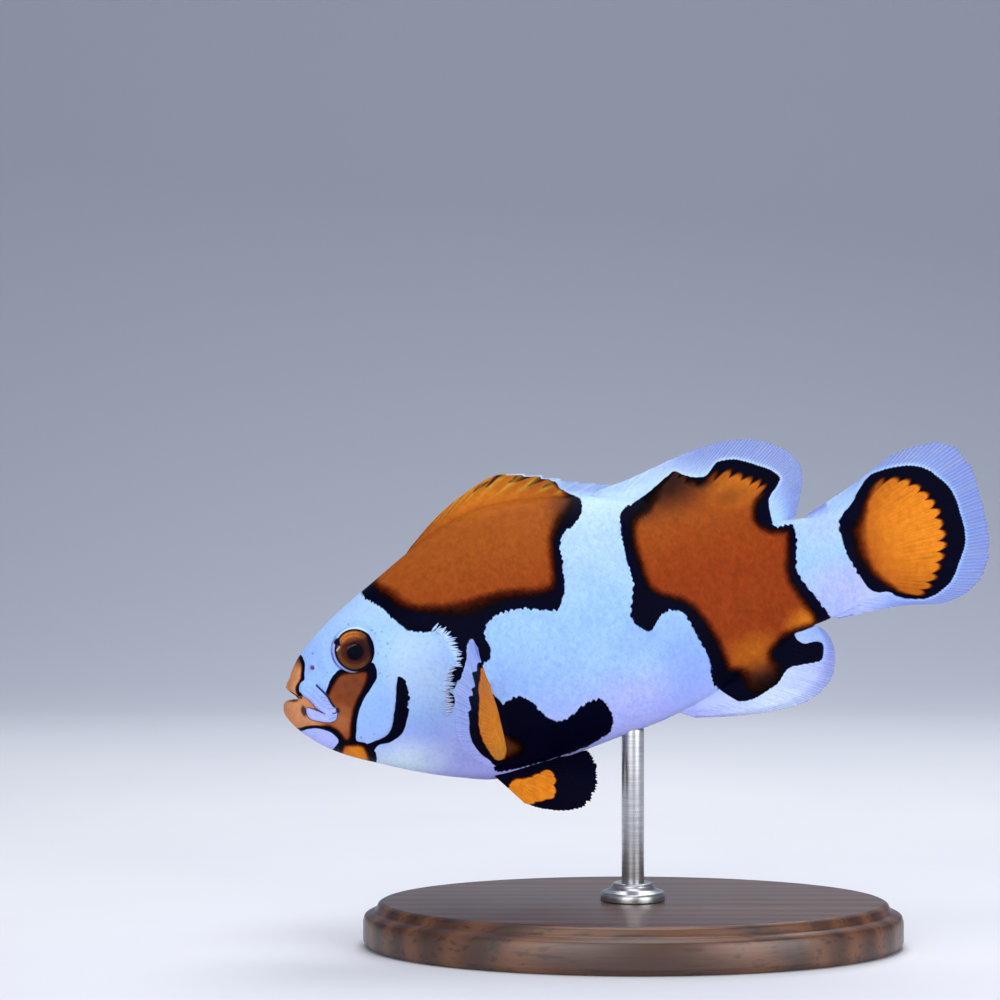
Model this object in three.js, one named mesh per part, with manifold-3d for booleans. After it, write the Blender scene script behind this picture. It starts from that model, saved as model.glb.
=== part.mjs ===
// A life-size clownfish (Amphiprion percula, ornamental strain) held in a nose-down swimming
// pose by one rod on a small oval stand. Millimetres, +Z up. The origin is the middle of the
// stand's underside. The fish is modelled level in its own frame and then pitched as a group:
// there x runs back from the snout, y towards its right side and z up.
import * as THREE from "three";
import { LoftGeometry } from "three/addons/geometries/LoftGeometry.js";
import { mergeVertices } from "three/addons/utils/BufferGeometryUtils.js";
import Module from "manifold-3d";

const wasm = await Module();
wasm.setup();

// ---- Driving dimensions ------------------------------------------------------------------

const PITCH = THREE.MathUtils.degToRad(14); // nose down
const GAP = 0.3; // clearance between neighbouring pieces
const RING_POINTS = 32;
const HEAD_STEP = 1.6; // spacing of the body's sections in front of HEAD_END
const TRUNK_STEP = 2.7;
const HEAD_END = 19.9; // cut behind the gill covers
const TRUNK_END = 49; // cut in front of the tail stalk

// The body's sections: distance back from the snout, dorsal and ventral outline, half width,
// height of the widest point, and fullness of the upper and lower half (2 is an ellipse).
const BODY = [
  [-1.2, -1.1, -2.3, 0.5, -1.7, 2.0, 2.0],
  [-0.6, -0.1, -3.2, 1.5, -1.7, 2.1, 2.1],
  [-0.1, 1.2, -4.0, 2.0, -1.6, 2.1, 2.1],
  [0.6, 2.2, -4.9, 2.4, -1.5, 2.1, 2.1],
  [1.8, 3.6, -6.0, 2.9, -1.2, 2.1, 2.1],
  [3.2, 4.8, -7.2, 3.5, -0.8, 2.1, 2.1],
  [5, 6.0, -8.4, 4.2, -0.4, 2.1, 2.1],
  [8, 7.8, -10.0, 5.1, -0.2, 2.0, 2.0],
  [12, 9.8, -12.0, 6.0, -0.5, 1.9, 2.0],
  [16, 11.8, -13.6, 6.5, -0.8, 1.85, 2.0],
  [20, 13.6, -14.8, 6.9, -0.9, 1.8, 2.0],
  [25, 14.9, -14.6, 6.9, -0.8, 1.8, 2.0],
  [30, 14.8, -14.1, 6.6, -0.5, 1.8, 2.0],
  [35, 13.9, -13.5, 6.1, -0.3, 1.8, 2.0],
  [40, 12.6, -12.9, 5.3, -0.2, 1.8, 1.9],
  [45, 10.9, -11.6, 4.4, -0.3, 1.8, 1.9],
  [50, 8.9, -9.8, 3.4, -0.5, 1.9, 1.9],
  [54, 7.0, -8.1, 2.6, -0.6, 1.9, 1.9],
  [57, 5.7, -7.1, 2.1, -0.8, 2.0, 2.0],
  [60, 5.1, -6.6, 1.8, -0.9, 2.0, 2.0],
  [63, 5.0, -6.3, 1.4, -0.8, 2.0, 2.0],
  [65.2, 4.4, -5.6, 0.9, -0.7, 2.2, 2.2],
  [66.6, 2.4, -3.6, 0.5, -0.6, 2.2, 2.2],
];

// The swimming bend of the midline: the snout turns to the fish's left, the tail to its right.
const BEND = { neck: 24, snout: 1.3, waist: 40, tail: 2.2, span: 40 };

// Mouth slit and jaw line, as [x, z] along their upper and lower borders.
const MOUTH_UPPER = [[-2.5, 0.35], [0.1, 0.05], [0.75, -0.6], [1.9, -2.25], [3.2, -3.05]];
const MOUTH_LOWER = [[-2.5, -0.75], [-0.3, -0.8], [0.6, -1.15], [1.75, -2.6], [3.0, -3.35]];
const JAW_LINE = [[3.2, -3.05], [4.2, -4.5], [4.5, -6.3], [3.9, -10]];

const GILL_COVER = [
  [10.2, -8.6], [11.3, -5.0], [12.2, -1.2], [12.6, 2.4], [14.6, 3.7], [17.4, 3.3], [18.9, 2.2],
  [19.3, -0.2], [18.9, -2.6], [17.8, -5.0], [17.2, -8.0], [15.6, -10.4], [12.6, -10.6],
];
const GILL_COVER_DEPTH = 1.3;

const EYE = { x: 8.6, z: 3.1, radius: 2.45, bulge: 0.8, depth: 1.9, socket: 2.8 };

// Fins: key rays as base and tip. The rays between them are interpolated.
const SPINY_DORSAL = [
  [15.2, 10.4, 17.2, 12.7], [17.5, 11.4, 20.8, 15.1], [20.0, 12.4, 24.3, 16.9],
  [23.5, 13.5, 28.2, 18.0], [28.0, 13.7, 32.4, 17.0], [33.0, 13.0, 36.5, 15.1],
  [37.0, 12.2, 40.2, 13.75],
];
const SOFT_DORSAL = [
  [37.9, 11.7, 41.1, 13.55], [40.5, 11.0, 44.2, 14.3], [43.5, 10.2, 48.5, 15.2],
  [47.0, 9.0, 52.8, 15.6], [50.5, 7.7, 57.2, 14.9], [53.5, 6.3, 60.2, 12.9],
  [55.6, 5.3, 61.35, 10.8], [56.9, 4.9, 61.0, 8.3], [57.5, 4.6, 59.6, 5.6],
];
const ANAL = [
  [41.0, -12.0, 43.2, -13.6], [43.0, -11.2, 47.5, -14.5], [46.0, -10.2, 52.0, -15.0],
  [49.5, -9.0, 56.0, -14.7], [52.5, -7.8, 59.0, -13.0], [54.8, -6.9, 60.2, -9.9],
  [56.4, -6.4, 59.8, -7.9], [57.0, -6.2, 58.9, -7.0],
];
const CAUDAL = [
  [59.5, 4.2, 61.0, 5.5], [62.0, 3.8, 66.5, 7.4], [63.5, 3.4, 72.0, 9.6],
  [64.5, 2.8, 77.8, 9.5], [65.0, 1.9, 80.1, 6.4], [65.3, 0.8, 80.4, 3.0],
  [65.4, -0.6, 80.3, -0.6], [65.3, -1.9, 79.6, -4.0], [65.0, -3.0, 77.4, -6.9],
  [64.3, -4.0, 73.5, -8.0], [62.8, -4.9, 68.5, -7.1], [59.5, -5.6, 61.5, -6.8],
];
// Paired fins of the left side, as [base x, y, z, tip x, y, z].
const PECTORAL = [
  [22.8, -5.0, -6.3, 21.6, -12.5, 1.6], [22.5, -4.9, -7.5, 20.0, -16.5, -0.5],
  [22.2, -4.6, -9.0, 18.4, -18.2, -4.5], [22.0, -4.1, -10.4, 17.8, -17.6, -8.2],
  [21.8, -3.4, -11.6, 18.4, -14.6, -11.2], [21.6, -2.8, -12.5, 20.0, -10.4, -13.0],
];
const PELVIC = [
  [20.6, -1.3, -13.4, 22.8, -3.2, -18.0], [20.8, -1.3, -13.4, 25.2, -4.2, -19.5],
  [21.1, -1.3, -13.4, 28.6, -4.4, -20.0], [21.5, -1.2, -13.4, 30.6, -4.0, -18.3],
  [21.9, -1.1, -13.4, 31.2, -3.2, -16.2], [22.3, -1.0, -13.4, 30.6, -2.2, -14.6],
];
const SPINES = 10;
const RAYS = { soft: 15, anal: 13, caudal: 14, pectoral: 10, pelvic: 6 };
const FIN_ROWS = 3; // bands from a fin's base to its edge
const FIN_BASE_HALF = 0.45; // half thickness
const FIN_EDGE_HALF = 0.28;
const RAY_RIDGE = 0.03; // how far a ray stands out of the web
const SPINE_NOTCH = 0.14; // how far the web falls short between spine tips

const STAND = { long: 30, ratio: 0.7, thick: 5, bevel: 0.8, collar: 3.6, collarTop: 7, rod: 1.25 };
const ROD_FOOT = [36, -13.4]; // where the rod meets the belly, in the fish's frame
const SNOUT_HEIGHT = 28; // height of the fish frame's origin above the floor

// ---- Materials ---------------------------------------------------------------------------

const finish = (color, roughness, metalness = 0) =>
  new THREE.MeshStandardMaterial({ color, roughness, metalness });
const WHITE = finish(0xd6e6fb, 0.35);
const ORANGE = finish(0xb5611c, 0.35);
const FIN_WHITE = finish(0xc9d4f2, 0.4);
const FIN_ORANGE = finish(0xe08a1e, 0.4);
const FIN_BLACK = finish(0x0b0a12, 0.4);
const IRIS = finish(0x8a4a17, 0.1);
const WOOD = finish(0x4a2c1a, 0.45);
const STEEL = finish(0xb8babd, 0.3, 1);

// ---- Shared functions --------------------------------------------------------------------

// Smooth curve through a table's column, by the slopes of the chords on each side.
function along(table, column, x) {
  const last = table.length - 2;
  let i = 0;
  while (i < last && x > table[i + 1][0]) i += 1;
  const slope = (k) => {
    const before = table[Math.max(k - 1, 0)];
    const after = table[Math.min(k + 1, last + 1)];
    return (after[column] - before[column]) / (after[0] - before[0]);
  };
  const span = table[i + 1][0] - table[i][0];
  const t = THREE.MathUtils.clamp((x - table[i][0]) / span, 0, 1);
  const start = table[i][column];
  const end = table[i + 1][column];
  const eased = t * t * (3 - 2 * t);
  const leave = t * (1 - t) * (1 - t) * span * slope(i);
  const arrive = t * t * (t - 1) * span * slope(i + 1);
  return start + (end - start) * eased + leave + arrive;
}

function bend(x) {
  const front = Math.max(BEND.neck - x, 0) / BEND.neck;
  const rear = Math.max(x - BEND.waist, 0) / BEND.span;
  return BEND.tail * rear * rear - BEND.snout * front * front;
}

function toSolid(geometry) {
  const bare = new THREE.BufferGeometry().copy(geometry);
  bare.deleteAttribute("normal");
  bare.deleteAttribute("uv");
  const merged = mergeVertices(bare, 1e-4);
  return new wasm.Manifold(new wasm.Mesh({
    numProp: 3,
    vertProperties: merged.attributes.position.array,
    triVerts: new Uint32Array(merged.index.array),
  }));
}

// A closed solid through rings of points, whichever way round the rings run.
function loftSolid(rings) {
  const middle = (ring) =>
    ring.reduce((sum, p) => sum.add(p), new THREE.Vector3()).divideScalar(ring.length);
  const facing = new THREE.Vector3();
  rings[0].forEach((p, i, ring) => {
    facing.add(new THREE.Vector3().crossVectors(p, ring[(i + 1) % ring.length]));
  });
  const backwards = facing.dot(middle(rings[1]).sub(middle(rings[0]))) < 0;
  const sections = backwards ? rings.map((ring) => [...ring].reverse()) : rings;
  return toSolid(new LoftGeometry(sections, { capStart: true, capEnd: true }));
}

function toGeometry(solid) {
  const mesh = solid.getMesh();
  return new THREE.BufferGeometry()
    .setAttribute("position", new THREE.BufferAttribute(new Float32Array(mesh.vertProperties), 3))
    .setIndex(new THREE.BufferAttribute(new Uint32Array(mesh.triVerts), 1));
}

// A prism through the fish from y0 to y1, with its outline given as [x, z].
function prism(outline, y0 = -30, y1 = 30) {
  const shape = new THREE.Shape(outline.map(([x, z]) => new THREE.Vector2(x, z)));
  const geometry = new THREE.ExtrudeGeometry(shape, { depth: y1 - y0, bevelEnabled: false });
  geometry.rotateX(Math.PI / 2);
  geometry.translate(0, y1, 0);
  return toSolid(geometry);
}

// ---- Body --------------------------------------------------------------------------------

// One ring of the body at x, with its outline moved out by grow (or in, down to a sliver).
function bodyRing(x, grow) {
  const [top, bottom, half, widest, upper, lower] = [1, 2, 3, 4, 5, 6].map((c) => along(BODY, c, x));
  const middle = (BODY[0][0] + BODY.at(-1)[0]) / 2;
  const end = (x - middle) / (BODY.at(-1)[0] - middle);
  return Array.from({ length: RING_POINTS }, (_, i) => {
    const angle = (i / RING_POINTS) * 2 * Math.PI;
    const side = Math.sin(angle);
    const rise = Math.cos(angle);
    const power = 2 / (rise > 0 ? upper : lower);
    const reach = Math.max((rise > 0 ? top - widest : widest - bottom) + grow, 0.05);
    return new THREE.Vector3(
      x + grow * end,
      bend(x) - Math.max(half + grow, 0.05) * Math.sign(side) * Math.abs(side) ** power,
      widest + reach * Math.sign(rise) * Math.abs(rise) ** power,
    );
  });
}

function bodySolid(grow) {
  const sections = [];
  const end = BODY.at(-1)[0];
  for (let x = BODY[0][0]; x < end; x += x < HEAD_END ? HEAD_STEP : TRUNK_STEP) {
    sections.push(bodyRing(x, grow));
  }
  sections.push(bodyRing(end, grow));
  return loftSolid(sections);
}

// The part of a solid between two cuts across the fish.
function stretch(solid, from, to) {
  return solid.intersect(prism([[from, -40], [to, -40], [to, 40], [from, 40]]));
}

// ---- Fins --------------------------------------------------------------------------------

// A fin from its key rays: one section for each ray and for the web between two rays. In each
// section the ring runs up the left face from base to edge and down the right face.
function finSolid(keys, rays, { notch = 0, flip = 1 } = {}) {
  const flat = keys[0].length === 4;
  const curve = (from) =>
    new THREE.CatmullRomCurve3(keys.map((k) => {
      const [x, y, z] = flat ? [k[from], 0, k[from + 1]] : k.slice(from, from + 3);
      return new THREE.Vector3(x, y * flip + bend(x), z);
    }));
  const bases = curve(0);
  const tips = curve(flat ? 2 : 3);
  const columns = rays * 2;
  const across = new THREE.Vector3(0, flip, 0);
  const sections = [];
  for (let i = 0; i <= columns; i += 1) {
    const u = i / columns;
    const base = bases.getPoint(u);
    const tip = tips.getPoint(u);
    const isWeb = i % 2 === 1;
    if (isWeb) tip.lerp(base, notch);
    if (!flat) {
      const next = tips.getPoint(Math.min(u + 0.02, 1)).sub(tips.getPoint(Math.max(u - 0.02, 0)));
      across.crossVectors(tip.clone().sub(base), next).normalize().multiplyScalar(flip);
    }
    const left = [];
    const right = [];
    for (let j = 0; j <= FIN_ROWS; j += 1) {
      const v = j / FIN_ROWS;
      const ridge = isWeb ? -RAY_RIDGE : RAY_RIDGE;
      const half = THREE.MathUtils.lerp(FIN_BASE_HALF, FIN_EDGE_HALF, Math.sqrt(v)) + ridge;
      const point = base.clone().lerp(tip, v);
      left.push(point.clone().addScaledVector(across, -half));
      right.unshift(point.clone().addScaledVector(across, half));
    }
    sections.push([...left, ...right]);
  }
  return loftSolid(sections);
}

// The part of a fin that stands clear of the body.
function fin(keys, rays, options) {
  const pieces = finSolid(keys, rays, options).subtract(grownBody).decompose();
  return toGeometry(pieces.reduce((a, b) => (a.volume() > b.volume() ? a : b)));
}

// ---- Head pieces -------------------------------------------------------------------------

// The slit between the lips, and the thin parting from its corner down to the throat.
function jawParting() {
  const inner = JAW_LINE.map(([x, z]) => [x - GAP, z - GAP / 2]);
  return prism([...MOUTH_UPPER, ...JAW_LINE.slice(1), ...inner.slice(1).reverse(), ...MOUTH_LOWER.slice().reverse()]);
}

// Everything in front of and under the middle of that slit.
function jawRegion() {
  const middle = MOUTH_UPPER.map(([x, z], i) => [
    (x + MOUTH_LOWER[i][0]) / 2,
    (z + MOUTH_LOWER[i][1]) / 2,
  ]);
  const parting = JAW_LINE.slice(1).map(([x, z]) => [x - GAP / 2, z]);
  return prism([...middle, ...parting, [-3, -10]]);
}

// The outline of a gill cover, moved out from its middle by grow, on the left side only.
function gillRegion(grow, flip) {
  const ring = new THREE.CatmullRomCurve3(
    GILL_COVER.map(([x, z]) => new THREE.Vector3(x, 0, z)), true);
  const middle = new THREE.Vector3(14.8, 0, -3.4);
  const outline = ring.getPoints(26).slice(0, -1).map((p) => {
    const out = p.clone().sub(middle).normalize().multiplyScalar(grow);
    return [p.x + out.x, p.z + out.z];
  });
  return flip > 0 ? prism(outline, -30, -1) : prism(outline, 1, 30);
}

// Half width of the body at x and height z.
function halfWidthAt(x, z) {
  const [top, bottom, half, widest, upper, lower] = [1, 2, 3, 4, 5, 6].map((c) => along(BODY, c, x));
  const full = z > widest ? upper : lower;
  const rise = z > widest ? (z - widest) / (top - widest) : (widest - z) / (widest - bottom);
  return half * (1 - rise ** full) ** (1 / full);
}

function eyeBall(flip, radius, depth) {
  const sideways = halfWidthAt(EYE.x, EYE.z) + EYE.bulge - EYE.depth;
  const ball = new THREE.SphereGeometry(1, 16, 10);
  ball.rotateX(Math.PI / 2);
  ball.scale(radius, depth, radius);
  ball.translate(EYE.x, bend(EYE.x) - flip * sideways, EYE.z);
  return ball;
}

// ---- Assembly ----------------------------------------------------------------------------

const fish = new THREE.Group();
fish.rotation.y = -PITCH;
const foot = new THREE.Vector3(ROD_FOOT[0], 0, ROD_FOOT[1]).applyEuler(fish.rotation);
fish.position.set(-foot.x, 0, SNOUT_HEIGHT);
fish.updateMatrix();

const model = new THREE.Group();
model.add(fish);

function add(parent, name, geometry, material) {
  const mesh = new THREE.Mesh(geometry, material);
  mesh.name = name;
  parent.add(mesh);
}

const body = bodySolid(0);
const grownBody = bodySolid(GAP);
const SIDES = [["left", 1], ["right", -1]];

function addHead() {
  let whole = stretch(body, -5, HEAD_END).subtract(jawParting());
  const jaw = whole.intersect(jawRegion());
  whole = whole.subtract(jawRegion());
  for (const [side, flip] of SIDES) {
    const core = bodySolid(-GILL_COVER_DEPTH);
    const deeper = bodySolid(-GILL_COVER_DEPTH - GAP);
    const cover = body.intersect(gillRegion(-GAP, flip)).subtract(core);
    whole = whole.subtract(gillRegion(0, flip).subtract(deeper));
    add(fish, `gill_cover_${side}`, toGeometry(cover), WHITE);
    whole = whole.subtract(toSolid(eyeBall(flip, EYE.socket, EYE.depth + GAP)));
    add(fish, `eye_${side}`, eyeBall(flip, EYE.radius, EYE.depth), IRIS);
  }
  add(fish, "head", toGeometry(whole), WHITE);
  add(fish, "lower_jaw", toGeometry(jaw), ORANGE);
}

function addTrunk() {
  add(fish, "trunk", toGeometry(stretch(body, HEAD_END + GAP, TRUNK_END)), ORANGE);
  add(fish, "tail_stalk", toGeometry(stretch(body, TRUNK_END + GAP, 80)), WHITE);
}

function addFins() {
  add(fish, "dorsal_fin_spiny", fin(SPINY_DORSAL, SPINES, { notch: SPINE_NOTCH }), FIN_ORANGE);
  add(fish, "dorsal_fin_soft", fin(SOFT_DORSAL, RAYS.soft), FIN_WHITE);
  add(fish, "anal_fin", fin(ANAL, RAYS.anal), FIN_WHITE);
  add(fish, "caudal_fin", fin(CAUDAL, RAYS.caudal), FIN_ORANGE);
  for (const [side, flip] of SIDES) {
    add(fish, `pectoral_fin_${side}`, fin(PECTORAL, RAYS.pectoral, { flip }), FIN_ORANGE);
    add(fish, `pelvic_fin_${side}`, fin(PELVIC, RAYS.pelvic, { flip }), FIN_BLACK);
  }
}

function addStand() {
  const { long, ratio, thick, bevel, collar, collarTop, rod } = STAND;
  const profile = (points) => points.map(([r, z]) => new THREE.Vector2(r, z));
  const base = new THREE.LatheGeometry(profile([
    [0, 0], [long - bevel, 0], [long, bevel], [long, thick - 2 * bevel], [long - 2 * bevel, thick], [0, thick],
  ]), 40);
  base.rotateX(Math.PI / 2);
  base.scale(1, ratio, 1);
  add(model, "stand_base", base, WOOD);
  const ring = new THREE.LatheGeometry(profile([
    [0, thick], [collar, thick], [collar, collarTop - bevel], [collar - bevel, collarTop], [0, collarTop],
  ]), 24);
  ring.rotateX(Math.PI / 2);
  add(model, "stand_collar", ring, STEEL);
  const height = SNOUT_HEIGHT - collarTop;
  const post = new THREE.CylinderGeometry(rod, rod, height, 24);
  post.rotateX(Math.PI / 2);
  post.translate(0, 0, collarTop + height / 2);
  const bodyInPlace = toSolid(toGeometry(grownBody).applyMatrix4(fish.matrix));
  add(model, "stand_rod", toGeometry(toSolid(post).subtract(bodyInPlace)), STEEL);
}

addHead();
addTrunk();
addFins();
addStand();

export default model;
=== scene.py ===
"""Looks of the life-size clownfish on its stand.

The fish is built in its own frame, in millimetres: x runs back from the snout, y towards its
right side, z up. placed() pitches it nose down and moves it to its place over the stand, in metres.
Outlines of the markings are drawn on the fish's mid-plane as seen from the camera, so seen()
carries a point of the surface to that plane before it is compared with them.
"""

import math

import bmesh
import bpy
import numpy as np
from mathutils import Matrix, Vector
from mathutils.bvhtree import BVHTree


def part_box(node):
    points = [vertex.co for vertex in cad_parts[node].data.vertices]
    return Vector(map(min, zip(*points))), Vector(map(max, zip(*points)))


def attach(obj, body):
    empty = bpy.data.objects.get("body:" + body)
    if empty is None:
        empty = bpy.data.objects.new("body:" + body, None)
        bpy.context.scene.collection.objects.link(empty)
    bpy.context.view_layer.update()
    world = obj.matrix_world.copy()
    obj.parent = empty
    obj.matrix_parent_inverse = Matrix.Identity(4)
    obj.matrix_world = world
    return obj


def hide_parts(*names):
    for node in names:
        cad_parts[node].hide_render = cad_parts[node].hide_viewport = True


# ---- Placing and viewing (millimetres) ---------------------------------------------------------

MM = 0.001
PITCH = math.radians(14)
SNOUT = (-38.17, 0.0, 28.0)  # the fish frame's origin, in the row frame
CAMERA = (-14.78, -309.0, 49.5)
CAMERA_LENS = 100.0
CAMERA_SENSOR = 36.0

# ---- The body ----------------------------------------------------------------------------------

# Sections: x, top, bottom, half width, height of the widest point, fullness above and below.
BODY = np.array([
    [-0.95, -1.3, -2.2, 0.5, -1.7, 2.0, 2.0],
    [-0.6, -0.5, -2.9, 1.3, -1.7, 2.1, 2.1],
    [-0.3, -0.1, -3.45, 1.7, -1.6, 2.1, 2.1],
    [-0.08, 0.95, -3.8, 1.9, -1.6, 2.1, 2.1],
    [0.2, 1.4, -4.2, 2.15, -1.6, 2.1, 2.1],
    [0.5, 1.62, -4.6, 2.35, -1.5, 2.1, 2.1],
    [0.85, 2.3, -5.0, 2.5, -1.4, 2.1, 2.1],
    [1.8, 3.5, -6.0, 2.9, -1.2, 2.1, 2.1],
    [3.2, 4.75, -7.2, 3.5, -0.8, 2.1, 2.1],
    [5, 6.0, -8.4, 4.2, -0.4, 2.1, 2.1],
    [8, 7.8, -10.0, 5.1, -0.2, 2.0, 2.0],
    [12, 9.8, -12.0, 6.0, -0.5, 1.9, 2.0],
    [16, 11.8, -13.6, 6.5, -0.8, 1.85, 2.0],
    [20, 13.6, -14.8, 6.9, -0.9, 1.8, 2.0],
    [25, 14.9, -14.6, 6.9, -0.8, 1.8, 2.0],
    [30, 14.8, -14.1, 6.6, -0.5, 1.8, 2.0],
    [35, 13.9, -13.5, 6.1, -0.3, 1.8, 2.0],
    [40, 12.6, -12.9, 5.3, -0.2, 1.8, 1.9],
    [45, 10.9, -11.6, 4.4, -0.3, 1.8, 1.9],
    [50, 8.9, -9.8, 3.4, -0.5, 1.9, 1.9],
    [54, 7.0, -8.1, 2.6, -0.6, 1.9, 1.9],
    [57, 5.7, -7.1, 2.1, -0.8, 2.0, 2.0],
    [60, 5.1, -6.6, 1.7, -0.9, 2.0, 2.0],
    [63, 4.8, -6.1, 1.1, -0.8, 2.0, 2.0],
    [65.2, 4.0, -5.2, 0.6, -0.7, 2.2, 2.2],
    [66.8, 2.0, -3.2, 0.3, -0.6, 2.2, 2.2],
])
BODY_STEP = 0.25
BODY_ROUND = 144  # points around one section
# The body bends sideways in front of the neck, by so much at the snout, and behind the waist.
NECK, SNOUT_BEND = 24.0, 1.3
WAIST, TAIL_BEND, TAIL_SPAN = 40.0, 2.2, 40.0

# The slit between the lips, cut right through from side to side.
MOUTH = [
    (-2.5, 2.0), (-0.6, 1.3), (-0.3, 0.92), (0.1, 0.55), (0.6, 0.08), (0.95, -0.38),
    (1.2, -0.92), (0.85, -0.98), (0.2, -0.78), (-0.3, -0.66), (-0.8, -0.76), (-1.2, -1.15),
    (-2.5, -1.4),
]
SLIT_REACH = 12  # how far to each side it is cut

SKIN_VOXEL = 0.2
# In front of each of these x the skin's faces are split in four once more.
FINER_BEFORE = (20.5, 6.0)

# ---- Fins --------------------------------------------------------------------------------------

# How many gaps between spines, or between rays, each fin has.
SPINES = 13
RAYS = {"soft": 22, "anal": 18, "caudal": 24, "pectoral": 18, "pelvic": 9}
# Key rays of the fins on the midline: x and z of the base and of the tip.
SPINY_DORSAL = [
    (14.0, 9.9, 17.2, 12.7), (15.2, 10.8, 20.8, 15.2), (16.4, 11.4, 24.3, 16.9),
    (19.6, 12.9, 28.2, 18.0), (24.4, 13.6, 32.4, 17.0), (29.6, 13.2, 36.5, 15.2),
    (34.5, 12.5, 40.4, 13.85),
]
SOFT_DORSAL = [
    (35.0, 11.9, 38.7, 13.6), (37.0, 11.1, 42.8, 14.1), (40.3, 9.9, 48.5, 15.2),
    (43.6, 8.9, 52.8, 15.6), (47.2, 7.8, 57.2, 14.9), (50.2, 6.7, 60.2, 12.9),
    (52.4, 5.9, 61.35, 10.8), (54.4, 5.4, 61.0, 8.5), (56.4, 4.7, 59.6, 5.6),
]
ANAL = [
    (40.0, -11.6, 43.2, -13.6), (41.6, -11.2, 47.5, -14.5), (44.4, -10.3, 52.0, -15.0),
    (47.4, -9.3, 56.0, -14.8), (50.3, -8.2, 59.0, -13.1), (52.8, -7.2, 60.1, -10.4),
    (55.0, -6.5, 59.8, -8.2), (56.6, -6.1, 58.9, -7.0),
]
CAUDAL = [
    (59.5, 4.2, 61.0, 5.5), (62.0, 3.8, 66.5, 7.4), (63.5, 3.4, 72.0, 9.6),
    (64.5, 2.8, 77.8, 9.5), (65.0, 1.9, 80.1, 6.4), (65.3, 0.8, 80.4, 3.0),
    (65.4, -0.6, 80.3, -0.6), (65.3, -1.9, 79.6, -4.0), (65.0, -3.0, 77.4, -6.9),
    (64.3, -4.0, 73.5, -8.0), (62.8, -4.9, 68.5, -7.1), (59.5, -5.6, 61.5, -6.8),
]
# The left ones of the paired fins: x, y and z of the base and of the tip.
PECTORAL = [
    (21.6, -5.0, -5.9, 21.85, -12.0, 0.6), (21.7, -5.0, -6.5, 21.45, -12.5, 1.6),
    (21.9, -4.9, -7.1, 20.85, -13.5, 1.2), (22.05, -4.8, -7.9, 20.3, -15.2, -0.4),
    (22.2, -4.6, -9.0, 18.6, -17.5, -3.2), (22.3, -4.1, -10.4, 17.5, -17.5, -6.7),
    (22.15, -3.4, -11.8, 17.9, -15.0, -9.7), (21.6, -2.8, -12.8, 20.1, -10.0, -12.6),
]
PELVIC = [
    (19.3, -1.3, -13.4, 22.6, -3.2, -18.0), (19.8, -1.3, -13.4, 25.2, -4.2, -19.3),
    (20.4, -1.3, -13.4, 28.7, -4.4, -19.7), (21.1, -1.2, -13.4, 30.7, -4.0, -18.1),
    (21.7, -1.1, -13.4, 31.3, -3.2, -16.1), (22.3, -1.0, -13.4, 30.8, -2.2, -14.3),
]

FIN_ROWS = 64  # points along each ray
# How far along its rays the flesh of the body covers each fin.
SPINY_ROOT, SOFT_ROOT, TAIL_ROOT, PAIRED_ROOT = 0.4, 0.34, 0.12, 0.16

# ---- Markings, as seen from the left: the black's outer outline, and the orange inside it ------

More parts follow.
